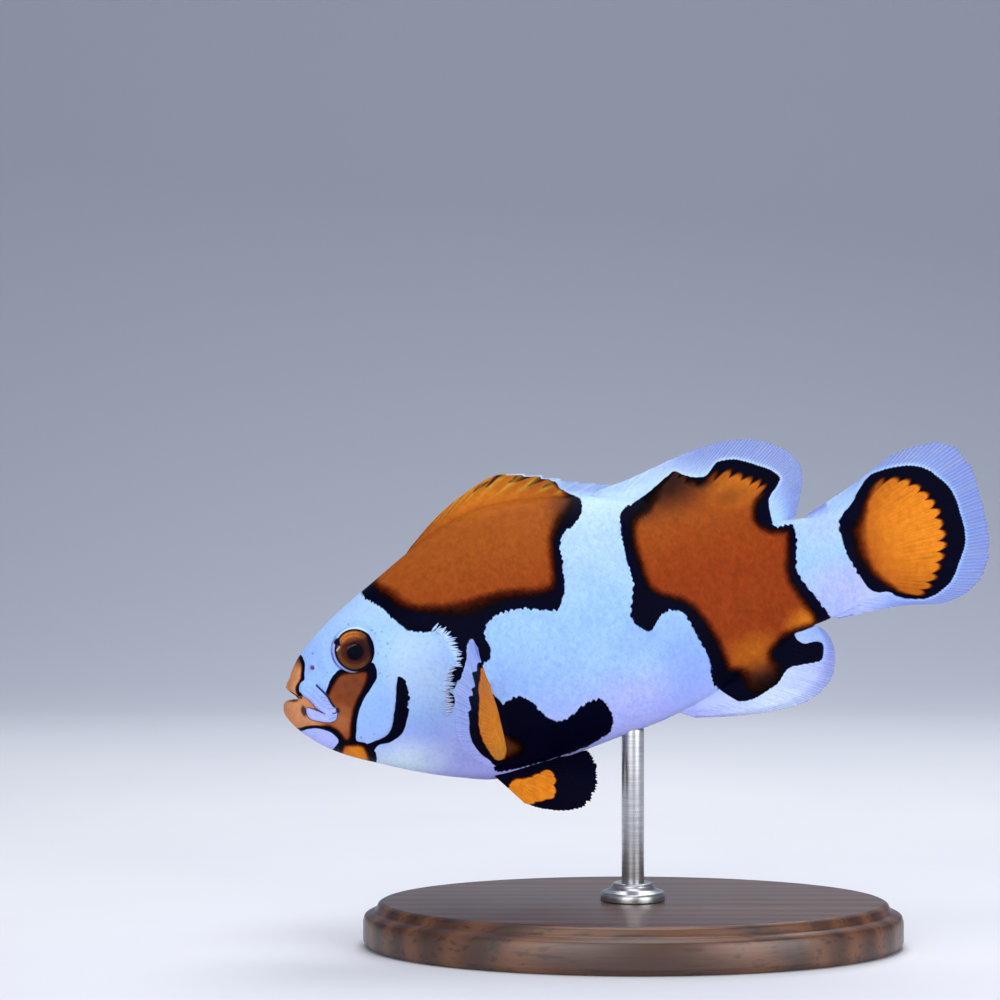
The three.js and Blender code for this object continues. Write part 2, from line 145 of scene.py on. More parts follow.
BLACK = {
    "saddle": [
        (10.6, 8.6), (11.2, 7.9), (12.0, 7.0), (12.8, 6.0), (13.4, 5.0), (14.0, 4.2),
        (14.7, 3.5), (16.2, 2.95), (17.3, 2.75), (18.1, 2.6), (18.5, 2.0), (18.7, 1.2),
        (18.85, 0.2), (19.05, -0.8), (18.5, -1.5), (18.0, -2.0), (17.75, -2.6), (17.7, -3.0),
        (17.4, -3.4), (17.6, -3.9), (18.1, -3.8), (18.5, -3.2), (19.3, -3.1), (20.3, -2.9),
        (21.2, -2.2), (22.0, -2.0), (22.6, -1.6), (22.9, -1.0), (22.9, 0.0), (22.7, 1.0),
        (23.0, 1.8), (23.4, 2.3), (24.7, 2.9), (25.8, 3.0), (27.2, 2.95), (28.5, 2.6),
        (30.5, 1.9), (31.5, 1.95), (32.0, 2.8), (32.6, 3.6), (32.8, 5.0), (33.1, 7.0),
        (33.3, 8.8), (34.2, 10.0), (35.4, 10.6), (36.3, 11.3), (36.7, 12.4), (36.8, 13.0),
        (36.2, 13.6), (35.4, 14.2), (34.7, 14.9), (34.5, 15.5), (33.6, 16.3), (33.0, 17.2),
        (32.5, 19), (26, 21), (16, 17), (10.5, 12),
    ],
    "gill_gap": [
        (17.1, -4.2), (17.6, -4.5), (17.65, -5.2), (17.3, -5.8), (16.75, -5.75), (16.8, -5.4),
        (17.15, -5.0),
    ],
    "rear": [
        (40.05, 7), (40.3, 9), (40.6, 10.4), (41.1, 10.95), (42, 11.2), (44, 12.0),
        (46, 13.0), (47.0, 13.45), (47.6, 13.6), (48.4, 13.0), (49.3, 12.5), (50.3, 12.25),
        (51.1, 12.45), (52.2, 13.35), (53, 13.5), (54, 13.35), (55, 13.0), (57, 11.8),
        (58, 11.1), (58.7, 10.1), (58.3, 9.4), (57.0, 8.2), (56.7, 7.0), (56.75, 5.4),
        (57.2, 4.8), (58.4, 4.8), (59.0, 4.5), (59.0, 3), (58.6, 1.5), (58.2, 0), (58.3, -1),
        (58.9, -2.5), (59.7, -4.3), (60.4, -6), (60.1, -6.65), (58.6, -6.85), (57.0, -7.05),
        (56.1, -7.2), (56.3, -8.0), (57.0, -8.5), (58.3, -8.6), (58.85, -9.0), (58.8, -9.9),
        (58.2, -10.8), (56.5, -10.75), (55, -10.65), (54.2, -10.9), (53, -12.0), (51.5, -12.6),
        (50.0, -13.05), (48.4, -13.0), (47.4, -12.2), (46.4, -11.0), (46.05, -10.0), (46.3, -8.5),
        (46.2, -7.0), (45.7, -5), (45.2, -3), (44.7, -2.0), (43.6, -1.3), (42.4, -1.55),
        (41.3, -2.5), (40.5, -2.95), (39.6, -2.4), (39.1, -1.3), (39.1, -0.5), (39.9, 1.8),
        (40.2, 3), (40.05, 5),
    ],
    "tail": [
        (63.8, 2.2), (64.0, 3.7), (64.6, 4.6), (65.4, 5.1), (66.6, 6.3), (67.8, 7.5),
        (69.0, 8.05), (71.2, 8.15), (73.3, 7.85), (74.9, 7.0), (76.0, 5.7), (76.8, 4.5),
        (77.2, 2.8), (77.25, 1), (77.25, -0.6), (76.9, -2.1), (75.9, -3.7), (74.6, -5.5),
        (73.2, -6.4), (71.4, -6.9), (69.5, -6.5), (68.3, -6.0), (67.3, -5.15), (66.3, -5.0),
        (65.4, -4.4), (64.9, -3.2), (64.4, -1.5), (64.0, 0.2),
    ],
    "breast": [
        (21.9, -5.6), (22.5, -6.2), (22.9, -6.85), (23.5, -6.7), (24.3, -6.5), (25.2, -6.7),
        (26.3, -7.9), (27.0, -9.2), (27.8, -9.9), (28.6, -10.3), (30, -9.95), (31, -9.35),
        (32.4, -9.0), (33.4, -9.0), (34.1, -9.9), (34.3, -11.5), (33.7, -12.7), (32.4, -13.25),
        (30.5, -13.8), (27, -14.15), (24, -14.25), (21.8, -14.2), (20.5, -14.1), (19.9, -13.0),
        (20.0, -9.0), (21.0, -6.0),
    ],
    "upper_lip": [
        (2.1, 3.95), (2.42, 3.1), (2.35, 2.4), (2.15, 1.8), (1.95, 1.1), (1.5, 0.85),
        (1.2, 0.4), (1.1, -0.1), (1.35, -0.9), (0.2, -0.4), (-1.8, 0.2), (-1.5, 2.4), (0.6, 4.2),
    ],
    "cheek": [
        (-2.2, 0.0), (1.2, -0.2), (2.2, -0.4), (3.2, -0.8), (3.85, -0.85), (4.2, -0.4),
        (4.8, 0.4), (5.5, 0.95), (6.3, 1.25), (8.2, 0.9), (9.7, 1.1), (10.05, 0.4),
        (9.95, -0.45), (9.55, -1.05), (8.8, -1.75), (7.9, -2.6), (7.0, -3.8), (6.5, -4.9),
        (6.15, -6.0), (5.95, -6.9), (6.8, -7.35), (7.6, -8.3), (7.5, -9.8), (6.0, -10.8),
        (2.4, -8.4), (3.1, -7.25), (3.8, -6.75), (3.95, -6.3), (3.6, -5.6), (3.0, -5.05),
        (2.2, -4.6), (1.0, -4.35), (-0.2, -4.35), (-2.2, -3.2),
    ],
    "gill_stripe": [
        (12.2, -1.1), (12.8, -1.6), (13.05, -2.5), (12.9, -3.7), (12.5, -5), (11.9, -6.1),
        (11.4, -7.0), (10.7, -7.6), (9.5, -8.0), (8.3, -7.95), (7.6, -8.5), (7.5, -9.6),
        (6.8, -9.8), (6.7, -8.3), (6.9, -7.6), (7.8, -7.45), (9, -7.3), (9.8, -6.8),
        (10.3, -6), (10.7, -5), (11.2, -3.8), (11.6, -2.5), (11.9, -1.6),
    ],
}
ORANGE = {
    "saddle": [
        (34.6, 15.4), (35.2, 14.6), (36.0, 13.6), (35.8, 12.8), (35.0, 11.8), (33.9, 10.7),
        (33.0, 9.6), (32.5, 8), (32.2, 6), (31.9, 4.7), (31.2, 3.9), (29, 3.8), (26, 4.1),
        (23, 3.7), (21, 3.5), (19, 4.1), (17, 4.9), (15.5, 5.5), (14, 6.3), (13, 7.5),
        (12, 8.8), (11.8, 10.5), (14, 14), (18, 18), (24, 20), (30, 19), (33.2, 17.2),
    ],
    "rear": [
        (41.3, 9.0), (42.1, 10.3), (43.3, 11.2), (44.6, 12.2), (46.0, 13.2), (47.4, 13.9),
        (48.5, 13.3), (49.2, 12.3), (50.3, 12.0), (51.3, 12.3), (52.4, 12.5), (53.4, 12.3),
        (54.6, 11.7), (55.8, 10.9), (57.0, 9.9), (57.0, 9.2), (56.5, 8.5), (55.7, 7.7),
        (55.3, 6.6), (55.6, 5.6), (56.4, 4.9), (57.4, 4.6), (58.5, 4.2), (58.3, 2.9),
        (57.9, 1.3), (57.5, 0), (57.5, -1.3), (58.0, -2.8), (58.6, -4.3), (59.1, -6.1),
        (58.5, -6.95), (57.0, -7.1), (55.2, -7.4), (54, -8.1), (53.2, -8.9), (53.7, -10.2),
        (53.3, -11.8), (51.7, -12.6), (50.0, -12.4), (49.2, -11.4), (49.0, -10.1),
        (47.8, -9.4), (47.6, -8), (47.25, -6), (46.75, -4.2), (46.1, -2.6), (45.2, -1.2),
        (43.8, -0.3), (42.4, 0.5), (41.4, 1.8), (41.1, 4), (40.95, 6.5),
    ],
    "tail": [
        (64.8, 1.4), (65.1, 2.8), (66.2, 4.1), (67.1, 5.4), (68.1, 6.6), (69.4, 7.2),
        (71.0, 7.2), (72.7, 6.4), (73.9, 5.2), (74.7, 3.8), (75.1, 2.2), (75.2, 0.2),
        (74.9, -1.5), (74.2, -3.1), (73.1, -4.7), (71.7, -6.1), (70.4, -6.6), (69.0, -6.0),
        (67.6, -5.0), (66.2, -3.5), (65.4, -1.8), (64.9, 0),
    ],
    "upper_lip": [
        (2.0, 3.8), (2.17, 3.1), (2.08, 2.4), (1.88, 1.85), (1.65, 1.25), (1.28, 0.85),
        (0.92, 0.4), (0.82, -0.1), (1.0, -0.9), (0.2, -0.4), (-1.8, 0.2), (-1.5, 2.4), (0.6, 4.2),
    ],
    "cheek": [
        (-2.2, -0.3), (1.0, -0.5), (2.2, -0.7), (3.3, -1.0), (4.0, -1.0), (4.5, -0.45),
        (5.1, 0.2), (5.7, 0.65), (6.4, 0.85), (8.4, 0.6), (9.1, 0.2), (9.0, -0.5), (8.4, -1.4),
        (7.6, -2.3), (6.9, -3.2), (6.3, -4.3), (5.85, -5.4), (5.55, -6.4), (5.0, -6.8),
        (4.6, -6.6), (4.3, -6.0), (3.9, -5.3), (3.2, -4.75), (2.2, -4.35), (1.0, -4.1),
        (-0.2, -4.05), (-2.2, -3.0),
    ],
    "throat": [
        (4.3, -7.1), (4.8, -7.0), (5.8, -7.2), (6.6, -7.6), (6.9, -8.4), (6.8, -9.8),
        (5, -10.0), (2.8, -8.6), (3.7, -7.9),
    ],
    "breast_spot": [
        (21.3, -9.7), (22.3, -10.1), (23.4, -11.0), (23.9, -12.0), (23.2, -12.9), (21.4, -12.7),
    ],
}
# Dusky parts of the orange patches: x, z, reach along x, reach along z, and how dusky.
DUSKY = [
    (46.2, 12.6, 8.6, 5.2, 1.0), (51.8, -11.6, 4.8, 3.6, 1.0), (56.3, 6.8, 1.6, 2.4, 0.8),
    (43.0, 11.0, 3.8, 3.0, 1.0), (49.9, 11.8, 2.4, 2.0, 0.9), (23.0, -11.6, 3.0, 3.0, 0.9),
    (7.0, -1.0, 4.6, 4.4, 0.5), (35.2, 12.2, 3.4, 3.8, 0.8),
    (2.1, 3.5, 1.1, 1.5, 0.9), (52.8, 9.6, 3.2, 1.5, 0.4),
]
# Yellower parts: the same, and how yellow.
YELLOW = [
    (73.5, 1.0, 10.5, 14.0, 1.0), (54.2, 10.8, 6.0, 3.8, 0.33), (58.4, -6.4, 4.0, 2.6, 0.7),
    (5.4, -8.6, 3.4, 2.6, 1.0), (51.5, -8.4, 5.0, 3.6, 0.35), (26.0, 17.5, 16.0, 4.5, 0.5),
    (22.8, -11.6, 2.6, 2.6, 0.4),
]
# Parts of the white painted lilac as shade, mostly low on the body: the same, and how lilac.
LILAC = [
    (2.6, -2.6, 3.6, 3.4, 0.9), (1.5, -6.0, 5.0, 3.0, 1.0), (13.5, -11.5, 12.0, 5.5, 0.6),
    (63.0, -4.0, 8.0, 6.0, 0.9), (56.0, -12.0, 7.0, 5.0, 0.4),
    (9.5, -11.0, 6.0, 3.0, 0.4), (37.0, -10.5, 9.0, 5.0, 0.6), (62.0, 4.0, 5.0, 4.0, 0.4),
]
# Parts of the white painted paler, as painted light: the same, and how pale.
PALE = [(15.0, -1.0, 6.0, 7.0, 0.5), (9.5, -11.0, 8.0, 4.0, 1.0), (52.0, -16.0, 12.0, 9.0, 0.8)]
# Parts of the white painted a deeper blue, as painted shade: the same, and how deep.
DEEP = [
    (3.4, 2.6, 3.6, 3.6, 0.3), (2.8, -1.4, 2.6, 3.0, 0.4), (44.0, -6.5, 5.5, 7.0, 0.5),
    (40.0, -3.0, 4.0, 4.0, 0.3),
]
# Tan parts of the orange behind the lips: the same, and how tan.
TAN = [(5.0, -4.2, 2.8, 3.2, 0.4), (6.6, -1.0, 4.4, 3.8, 0.25)]
# Where the dark rim of the orange is wide and soft: the same, and how wide.
FADING = [
    (22.0, 4.4, 12.0, 3.0, 0.7), (13.5, 7.5, 4.0, 4.0, 0.5), (56.2, 6.8, 2.0, 2.6, 0.3),
    (43.0, 11.0, 3.6, 2.6, 0.7), (33.6, 10.6, 2.6, 3.0, 0.4), (51.0, -10.8, 4.4, 2.6, 0.5),
    (65.6, 1.6, 2.8, 6.0, 0.5), (67.6, 6.6, 3.0, 2.0, 0.5),
]
# The paired fins: the outer outline of the pectoral fin's black, and the orange of both.
PECTORAL_BLACK = [
    (21.35, -1.75), (20.9, -2.0), (20.75, -2.6), (20.2, -2.65), (20.15, -3.3), (20.1, -4.2),
    (19.7, -4.4), (19.65, -5.1), (19.15, -5.25), (19.1, -6.6), (18.7, -6.8), (18.6, -7.8),
    (18.35, -8.6), (18.3, -9.8), (18.5, -10.7), (18.9, -11.6), (19.6, -12.5), (20.5, -13.6),
    (23, -14.2), (24, -8), (23, -4), (22.2, -2.2),
]
PECTORAL_ORANGE = [
    (21.35, -2.3), (21.0, -2.9), (20.75, -3.6), (20.35, -4.4), (20.25, -5.2), (20.1, -5.9),
    (19.8, -6.8), (19.6, -7.6), (19.4, -8.4), (19.35, -9.3), (19.4, -10.2), (19.65, -11.2),
    (19.95, -12.1), (20.3, -12.75), (20.8, -13.05), (21.3, -12.8), (21.7, -12.2), (22.2, -11.6),
    (24.0, -11.5), (24.0, -2.0),
]
PELVIC_ORANGE = [
    (21.2, -15.75), (22.0, -15.3), (23.3, -15.45), (24.5, -15.3), (25.8, -15.1), (26.3, -15.6),
    (26.5, -16.4), (26.2, -17.2), (26.1, -18.0), (25.5, -18.5), (23.6, -18.5), (22.2, -18.6),
    (20.8, -17.0),
]
# Dark streaks between the tips of the dorsal spines.
SPINY_STREAKS = [
    [
        (26.7, 16.95), (27.4, 17.2), (28.2, 17.6), (29.0, 17.7), (28.4, 17.98), (27.8, 17.75),
        (27.2, 17.35),
    ],
    [
        (29.3, 16.85), (30.3, 16.72), (31.3, 16.82), (32.5, 16.95), (31.2, 17.22), (30.2, 17.35),
        (29.8, 17.05),
    ],
    [(31.2, 15.9), (32.2, 16.05), (33.3, 16.15), (33.5, 16.35), (32.8, 16.65), (32.0, 16.35)],
    [(32.8, 15.35), (33.8, 15.4), (34.7, 15.5), (34.0, 15.7), (33.3, 15.62)],
    [(25.2, 16.7), (26.2, 17.1), (27.2, 17.5), (26.4, 17.42), (25.6, 17.05)],
]

# ---- The head's relief -------------------------------------------------------------------------

# The lower lip, and the pale plate of the upper jaw that lies beside the mouth.
LOWER_LIP = [
    (-2.2, -0.5), (-0.4, -0.6), (0.6, -0.9), (0.95, -1.3), (0.95, -2.2), (0.65, -3.0),
    (0.2, -3.9), (-2.2, -4.2),
]
MAXILLA = [
    (1.2, 0.3), (1.5, 0.85), (2.1, 0.9), (2.7, 0.55), (3.05, 0.2), (3.5, -0.4), (3.85, -0.9),
    (4.0, -1.4), (4.15, -1.95), (4.4, -2.6), (4.55, -3.1), (4.5, -3.7), (4.2, -4.1),
    (3.7, -4.22), (3.0, -4.05), (2.3, -3.75), (1.65, -3.4), (1.35, -2.95), (1.3, -2.4),
    (1.5, -2.08), (2.0, -2.3), (2.5, -2.7), (3.05, -3.1), (2.75, -2.65), (2.4, -2.2),
    (2.2, -1.7), (1.95, -1.25), (1.55, -0.8), (1.2, -0.2),
]
# Creases about the mouth, each with its half width and depth; the deeper ones also carry painted
# shade.
CREASES = [
    ([(3.05, 0.15), (3.4, -0.4), (3.75, -0.95), (4.0, -1.5), (4.15, -2.1), (4.4, -2.7)], 0.09, 0.2),
    ([(2.2, -2.3), (2.7, -2.7), (3.25, -3.15)], 0.07, 0.125),
    ([(4.15, -3.3), (4.4, -3.38), (4.62, -3.2)], 0.07, 0.17),
    ([(0.3, 1.45), (0.8, 1.3), (1.3, 1.0)], 0.12, 0.07),
    ([(2.0, 0.6), (2.6, 0.35), (3.1, 0.2)], 0.1, 0.07),
    ([(1.7, -0.2), (2.3, -0.9), (2.9, -1.9), (3.6, -2.8)], 0.12, 0.08),
    ([(2.2, 0.1), (2.8, -0.6), (3.3, -1.5)], 0.1, 0.08),
    ([(1.9, -3.0), (2.6, -3.4), (3.5, -3.7)], 0.12, 0.08),
    ([(3.35, -1.2), (3.7, -1.45), (3.95, -1.5)], 0.05, 0.1),
    ([(3.5, -1.65), (3.85, -1.9), (4.1, -1.95)], 0.05, 0.11),
    ([(3.65, -2.1), (4.0, -2.3), (4.25, -2.35)], 0.05, 0.1),
    ([(3.8, -2.6), (4.1, -2.8), (4.45, -2.85)], 0.05, 0.11),
    ([(3.6, -3.45), (4.0, -3.4), (4.3, -3.5)], 0.05, 0.1),
    ([(3.6, -3.85), (4.0, -3.75), (4.35, -3.8)], 0.05, 0.11),
]
# Painted shade in hollows about the mouth: x, z, reach along x, reach along z.
MOUTH_SHADE_BLOTS = [(1.05, -2.3, 0.34, 0.75), (4.75, -3.15, 0.24, 0.4), (1.1, -0.78, 0.2, 0.2)]
# The gill cover's free edge, and the groove across the cheek in front of it.
GILL_EDGE = [
    (16.9, 3.7), (17.8, 3.0), (18.45, 2.3), (18.75, 1.4), (18.85, 0.4), (19.1, -0.5),
    (19.0, -1.2), (18.2, -1.7), (17.6, -2.5), (17.35, -3.4), (17.0, -4.2), (16.9, -5.2),
    (16.7, -6.4), (16.5, -7.6), (16.2, -9.0), (15.6, -10.3), (14.7, -11.4), (13.4, -12.3),
]
PREOPERCLE = [
    (13.3, 1.6), (12.75, 0.2), (12.2, -1.0), (11.8, -2.2), (11.3, -3.8), (10.7, -5.2),
    (10.2, -6.4), (9.3, -7.2), (7.8, -7.6),
]
# Where the raised part of the gill cover ends towards the cheek.
COVER_FRONT = [(6.0, -12.0), (6.0, 3.9)]
# Pores and freckles: x, z, radius.
FRECKLES = [
    (3.5, 3.7, 0.12), (8.2, 5.8, 0.11), (10.55, 4.55, 0.12), (10.85, 4.15, 0.09),
    (11.6, 4.15, 0.09), (11.9, 2.7, 0.12), (12.1, 2.1, 0.08), (10.6, 1.9, 0.09),
    (10.3, -0.25, 0.1), (11.0, -0.8, 0.08), (11.4, 1.4, 0.08), (11.1, 3.2, 0.09),
    (17.6, 1.4, 0.16), (6.5, -6.7, 0.12), (8.0, -6.7, 0.08), (5.6, 3.2, 0.07), (4.6, 1.2, 0.08),
]
NOSTRIL = (3.1, 2.15, 0.3)  # x, z, radius

EYE = (8.5, 3.12)  # x, z of its middle
EYE_SOCKET = 2.38  # the socket's radius
# The socket's middle: its pale rim shows in front of and below the iris.
SOCKET = (EYE[0] - 0.25, EYE[1] - 0.04)
# On the iris, as seen: a dark blot, and painted highlights, a glint and a thin arc over the pupil,
# each with its half width and strength.
EYE_BLOT = [
    (6.15, 4.35), (6.5, 4.65), (6.8, 4.55), (6.75, 4.1), (6.7, 3.8), (6.4, 3.95), (6.15, 4.1),
]
EYE_HIGHLIGHTS = [
    ([(6.25, 3.35), (6.42, 3.5), (6.6, 3.65)], 0.07, 0.9),
    ([(7.4, 3.2), (7.65, 3.38), (8.0, 3.48), (8.45, 3.42)], 0.03, 0.22),
]

FAR = 4.0  # distances to outlines are not followed beyond this
MARKING_NAMES = ("yellow", "dusk", "tan", "lilac", "pale", "deep")
RNG = np.random.default_rng(7)


# ---- Small functions ---------------------------------------------------------------------------

def smoothstep(low, high, x):
    """0 below low and 1 above high, with a smooth rise between them. It falls where high < low."""
    t = np.clip((x - low) / (high - low), 0.0, 1.0)
    return t * t * (3.0 - 2.0 * t)


def table(column, x):
    """A column of BODY at x, interpolated as the frame's solids are."""
    xs, ys = BODY[:, 0], BODY[:, column]
    last = len(xs) - 1
    i = np.clip(np.searchsorted(xs, x, side="left") - 1, 0, last - 1)
    before = np.maximum(np.arange(last + 1) - 1, 0)
    after = np.minimum(np.arange(last + 1) + 1, last)
    slope = (ys[after] - ys[before]) / (xs[after] - xs[before])
    span = xs[i + 1] - xs[i]
    t = np.clip((x - xs[i]) / span, 0.0, 1.0)
    eased = t * t * (3.0 - 2.0 * t)
    leave = t * (1 - t) ** 2 * span * slope[i]
    arrive = t * t * (t - 1) * span * slope[i + 1]
    return ys[i] + (ys[i + 1] - ys[i]) * eased + leave + arrive


def bend(x):
    """How far the body's middle lies to the side at x."""
    front = np.maximum(NECK - x, 0.0) / NECK
    rear = np.maximum(x - WAIST, 0.0) / TAIL_SPAN
    return TAIL_BEND * rear ** 2 - SNOUT_BEND * front ** 2


def body_point(x, angle):
    """A point of the body's surface. angle is 0 at the back, 90 degrees on the left side."""
    top, bottom, half, widest, upper, lower = (table(c, x) for c in range(1, 7))
    side, rise = np.sin(angle), np.cos(angle)
    power = 2.0 / np.where(rise > 0, upper, lower)
    reach = np.where(rise > 0, top - widest, widest - bottom)
    y = bend(x) - half * np.sign(side) * np.abs(side) ** power
    z = widest + reach * np.sign(rise) * np.abs(rise) ** power
    return np.stack((x + 0 * angle, y, z), axis=-1)


def placed(points):
    """Points of the fish's frame, in millimetres, in the row frame, in metres."""
    c, s = math.cos(PITCH), math.sin(PITCH)
    x, y, z = points[..., 0], points[..., 1], points[..., 2]
    back, up = x * c - z * s, x * s + z * c
    return np.stack((back + SNOUT[0], y + SNOUT[1], up + SNOUT[2]), axis=-1) * MM


def view_centre():
    """Where the camera's axis meets the mid-plane, in the fish's frame."""
    c, s = math.cos(PITCH), math.sin(PITCH)
    dx, dz = CAMERA[0] - SNOUT[0], CAMERA[2] - SNOUT[2]
    return np.array([dx * c + dz * s, -dx * s + dz * c])


def seen(points):
    """x and z on the mid-plane of what the camera sees at these points of the left side. The
    right side is read in a mirror, and drifts a little, so that the two sides are not twins."""
    x, y, z = points[:, 0], points[:, 1], points[:, 2]
    middle = bend(x)
    right = smoothstep(0.5, 4.0, y - middle)
    mirrored = np.minimum(y, 2 * middle - y)
    nearer = -CAMERA[1] / (-CAMERA[1] + mirrored)
    flat = view_centre() + (points[:, [0, 2]] - view_centre()) * nearer[:, None]
    trunk = smoothstep(12.0, 20.0, x) * right
    flat[:, 0] += trunk * (0.9 * np.sin(z * 0.35 + 1.0) + 0.5 * np.sin(x * 0.4))
    flat[:, 1] += trunk * (0.7 * np.sin(x * 0.31 + 2.0))
    return flat


def spline(a, b, c, d, t):
    """The smooth curve from b to c at the fraction t, where a comes before b and d after c."""
    return 0.5 * (2 * b + (c - a) * t + (2 * a - 5 * b + 4 * c - d) * t ** 2
                  + (3 * b - a - 3 * c + d) * t ** 3)


def with_ends(points):
    """The points, with one more beyond each end."""
    return np.vstack((2 * points[0] - points[1], points, 2 * points[-1] - points[-2]))


def curve(points, closed, per=6):
    """Points on a smooth curve through the given ones."""
    p = np.array(points, float)
    if closed:
        corners = (np.roll(p, 1, 0), p, np.roll(p, -1, 0), np.roll(p, -2, 0))
    else:
        q = with_ends(p)
        corners = (q[:-3], q[1:-2], q[2:-1], q[3:])
    t = np.linspace(0, 1, per, endpoint=False)[:, None, None]
    q = spline(*corners, t).transpose(1, 0, 2).reshape(-1, p.shape[1])
    return q if closed else np.vstack((q, p[-1]))


def on_curve(points, u):
    """Points at the fractions u along the smooth curve through the given points."""
    q = with_ends(np.array(points, float))
    spans = len(q) - 3
    f = np.clip(u, 0, 1) * spans
    i = np.minimum(f.astype(int), spans - 1)
    return spline(q[i], q[i + 1], q[i + 2], q[i + 3], (f - i)[:, None])


def lengths_along(points):
    """The length along a line of points up to each of them."""
    steps = np.linalg.norm(np.diff(points, axis=0), axis=1)
    return np.concatenate(([0], np.cumsum(steps)))


def outline_distance(points, outline, closed=True):
    """Distance to an outline, up to FAR: negative inside a closed one."""
    result = np.full(len(points), FAR)
    near = np.all((points > outline.min(0) - FAR) & (points < outline.max(0) + FAR), axis=1)
    px, pz = points[near].T
    best = np.full(len(px), FAR * FAR)
    inside = np.zeros(len(px), bool)
    ends = np.roll(outline, -1, 0) if closed else outline[1:]
    for (ax, az), (bx, bz) in zip(outline, ends):
        ex, ez = bx - ax, bz - az
        dx, dz = px - ax, pz - az
        t = np.clip((dx * ex + dz * ez) / (ex * ex + ez * ez + 1e-12), 0.0, 1.0)
        np.minimum(best, (dx - t * ex) ** 2 + (dz - t * ez) ** 2, out=best)
        if closed:
            crosses = (az > pz) != (bz > pz)
            inside ^= crosses & (dx < dz * ex / (ez if ez else 1e-12))
    distance = np.sqrt(best)
    result[near] = np.where(inside, -distance, distance)
    return result


def line_distance(flat, places):
    """Distance from the smooth line through the given places."""
    return outline_distance(flat, curve(places, False), closed=False)


def loop_distance(flat, places, per=6):
    """Distance outside the smooth closed outline through the given places."""
    return outline_distance(flat, curve(places, True, per))


def oval_distance(flat, spot):
    """0 in the middle of an oval given as x, z and its reach along x and z, 1 at its edge."""
    x, z, reach_x, reach_z = spot[:4]
    return np.hypot((flat[:, 0] - x) / reach_x, (flat[:, 1] - z) / reach_z)


# The outlines that are read at every point of the skin and scales, made smooth once.
LOOPS = {
    "black": {name: curve(points, True, 4) for name, points in BLACK.items()},
    "orange": {name: curve(points, True, 4) for name, points in ORANGE.items()},
    "maxilla": curve(MAXILLA, True, 5),
    "lower_lip": curve(LOWER_LIP, True, 4),
    "mouth": np.array(MOUTH),
}


def strongest(flat, spots):
    """The strongest of several soft ovals at each point, each with its own strength."""
    return np.max([smoothstep(1.0, 0.1, oval_distance(flat, s)) * s[4] for s in spots], axis=0)


def markings(points, grain=0.0):
    """What the material reads at each point: distance outside the black, distance outside the
    orange, how yellow, dusky or tan the orange is, how lilac, pale or deep the white is (painted
    shade and light), and the height, by which light from above is painted. Where the distance
    into the orange is scaled up, its dark rim is narrower. grain shifts the distances."""
    flat = seen(points)
    x, z = flat.T
    black = np.min([outline_distance(flat, o) for o in LOOPS["black"].values()], axis=0)
    orange = np.min([outline_distance(flat, o) for o in LOOPS["orange"].values()], axis=0)
    plate = outline_distance(flat, LOOPS["maxilla"])
    # Painted shade: inside the mouth's slit the skin is painted black, with a dark rim at its edge,
    # as the shade in the mouth.
    mouth = outline_distance(flat, LOOPS["mouth"]) + 0.22
    black = np.maximum(np.minimum(black, mouth), -plate) + grain
    face = 1.2 * smoothstep(11.5, 10.0, x) * smoothstep(4.0, 2.0, z)
    narrower = 1 + face + 3 * smoothstep(3.4, 2.2, x)
    orange *= np.where(orange < 0, narrower * (1 - strongest(flat, FADING)), 1.0)
    orange = np.maximum(np.maximum(orange, -9 * mouth - 0.2), -9 * plate) + 1.5 * grain
    return {
        "black_edge": black,
        "orange_edge": orange,
        "yellow": strongest(flat, YELLOW),
        "dusk": strongest(flat, DUSKY),
        "tan": np.maximum(smoothstep(3.6, 1.8, x), strongest(flat, TAN)),
        "lilac": strongest(flat, LILAC),
        "pale": strongest(flat, PALE),
        "deep": strongest(flat, DEEP),
        "height": z,
    }


def plain_markings(count, **given):
    """Values as markings() gives them, where those that are not given are nothing."""
    return {**{name: np.zeros(count) for name in MARKING_NAMES}, **given}


def store(mesh, values):
    """Keeps a number for each point of the mesh under each name, for the material to read."""
    for key, data in values.items():
        layer = mesh.attributes.new(key, "FLOAT", "POINT")
        layer.data.foreach_set("value", np.asarray(data, np.float32))


def in_scene(name, data):
    """A new object in the scene."""
    piece = bpy.data.objects.new(name, data)
    bpy.context.scene.collection.objects.link(piece)
    return piece


def mesh_object(name, points, faces, values, material, placing=True):
    """A smooth object. placing carries its points from the fish's frame to the row frame."""
    mesh = bpy.data.meshes.new(name)
    if placing:
        points = placed(points)
    mesh.from_pydata(points.tolist(), [], faces if isinstance(faces, list) else faces.tolist())
    store(mesh, values or {})
    mesh.polygons.foreach_set("use_smooth", np.ones(len(mesh.polygons), bool))
    mesh.update()
    if material:
        mesh.materials.append(material)
    return in_scene(name, mesh)


def grid_faces(rows, columns, wrap=False):
    """Quads between neighbouring points of a grid whose points run row by row."""
    last = columns if wrap else columns - 1
    i, j = np.meshgrid(np.arange(rows - 1), np.arange(last), indexing="ij")
    a = i * columns + j
    b = i * columns + (j + 1) % columns
    return np.stack((a, b, b + columns, a + columns), axis=-1).reshape(-1, 4)


def evaluated(piece):
    """The piece's mesh with its modifiers applied, and the piece removed."""
    graph = bpy.context.evaluated_depsgraph_get()
    mesh = bpy.data.meshes.new_from_object(piece.evaluated_get(graph))
    bpy.data.objects.remove(piece)
    return mesh


def vertex_array(mesh, key="co"):
    """The places of the mesh's points, or their normals."""
    data = np.empty(len(mesh.vertices) * 3, np.float32)
    if key == "normal":
        mesh.vertex_normals.foreach_get("vector", data)
    else:
        mesh.vertices.foreach_get("co", data)
    return data.reshape(-1, 3).astype(float)


# ---- Skin --------------------------------------------------------------------------------------

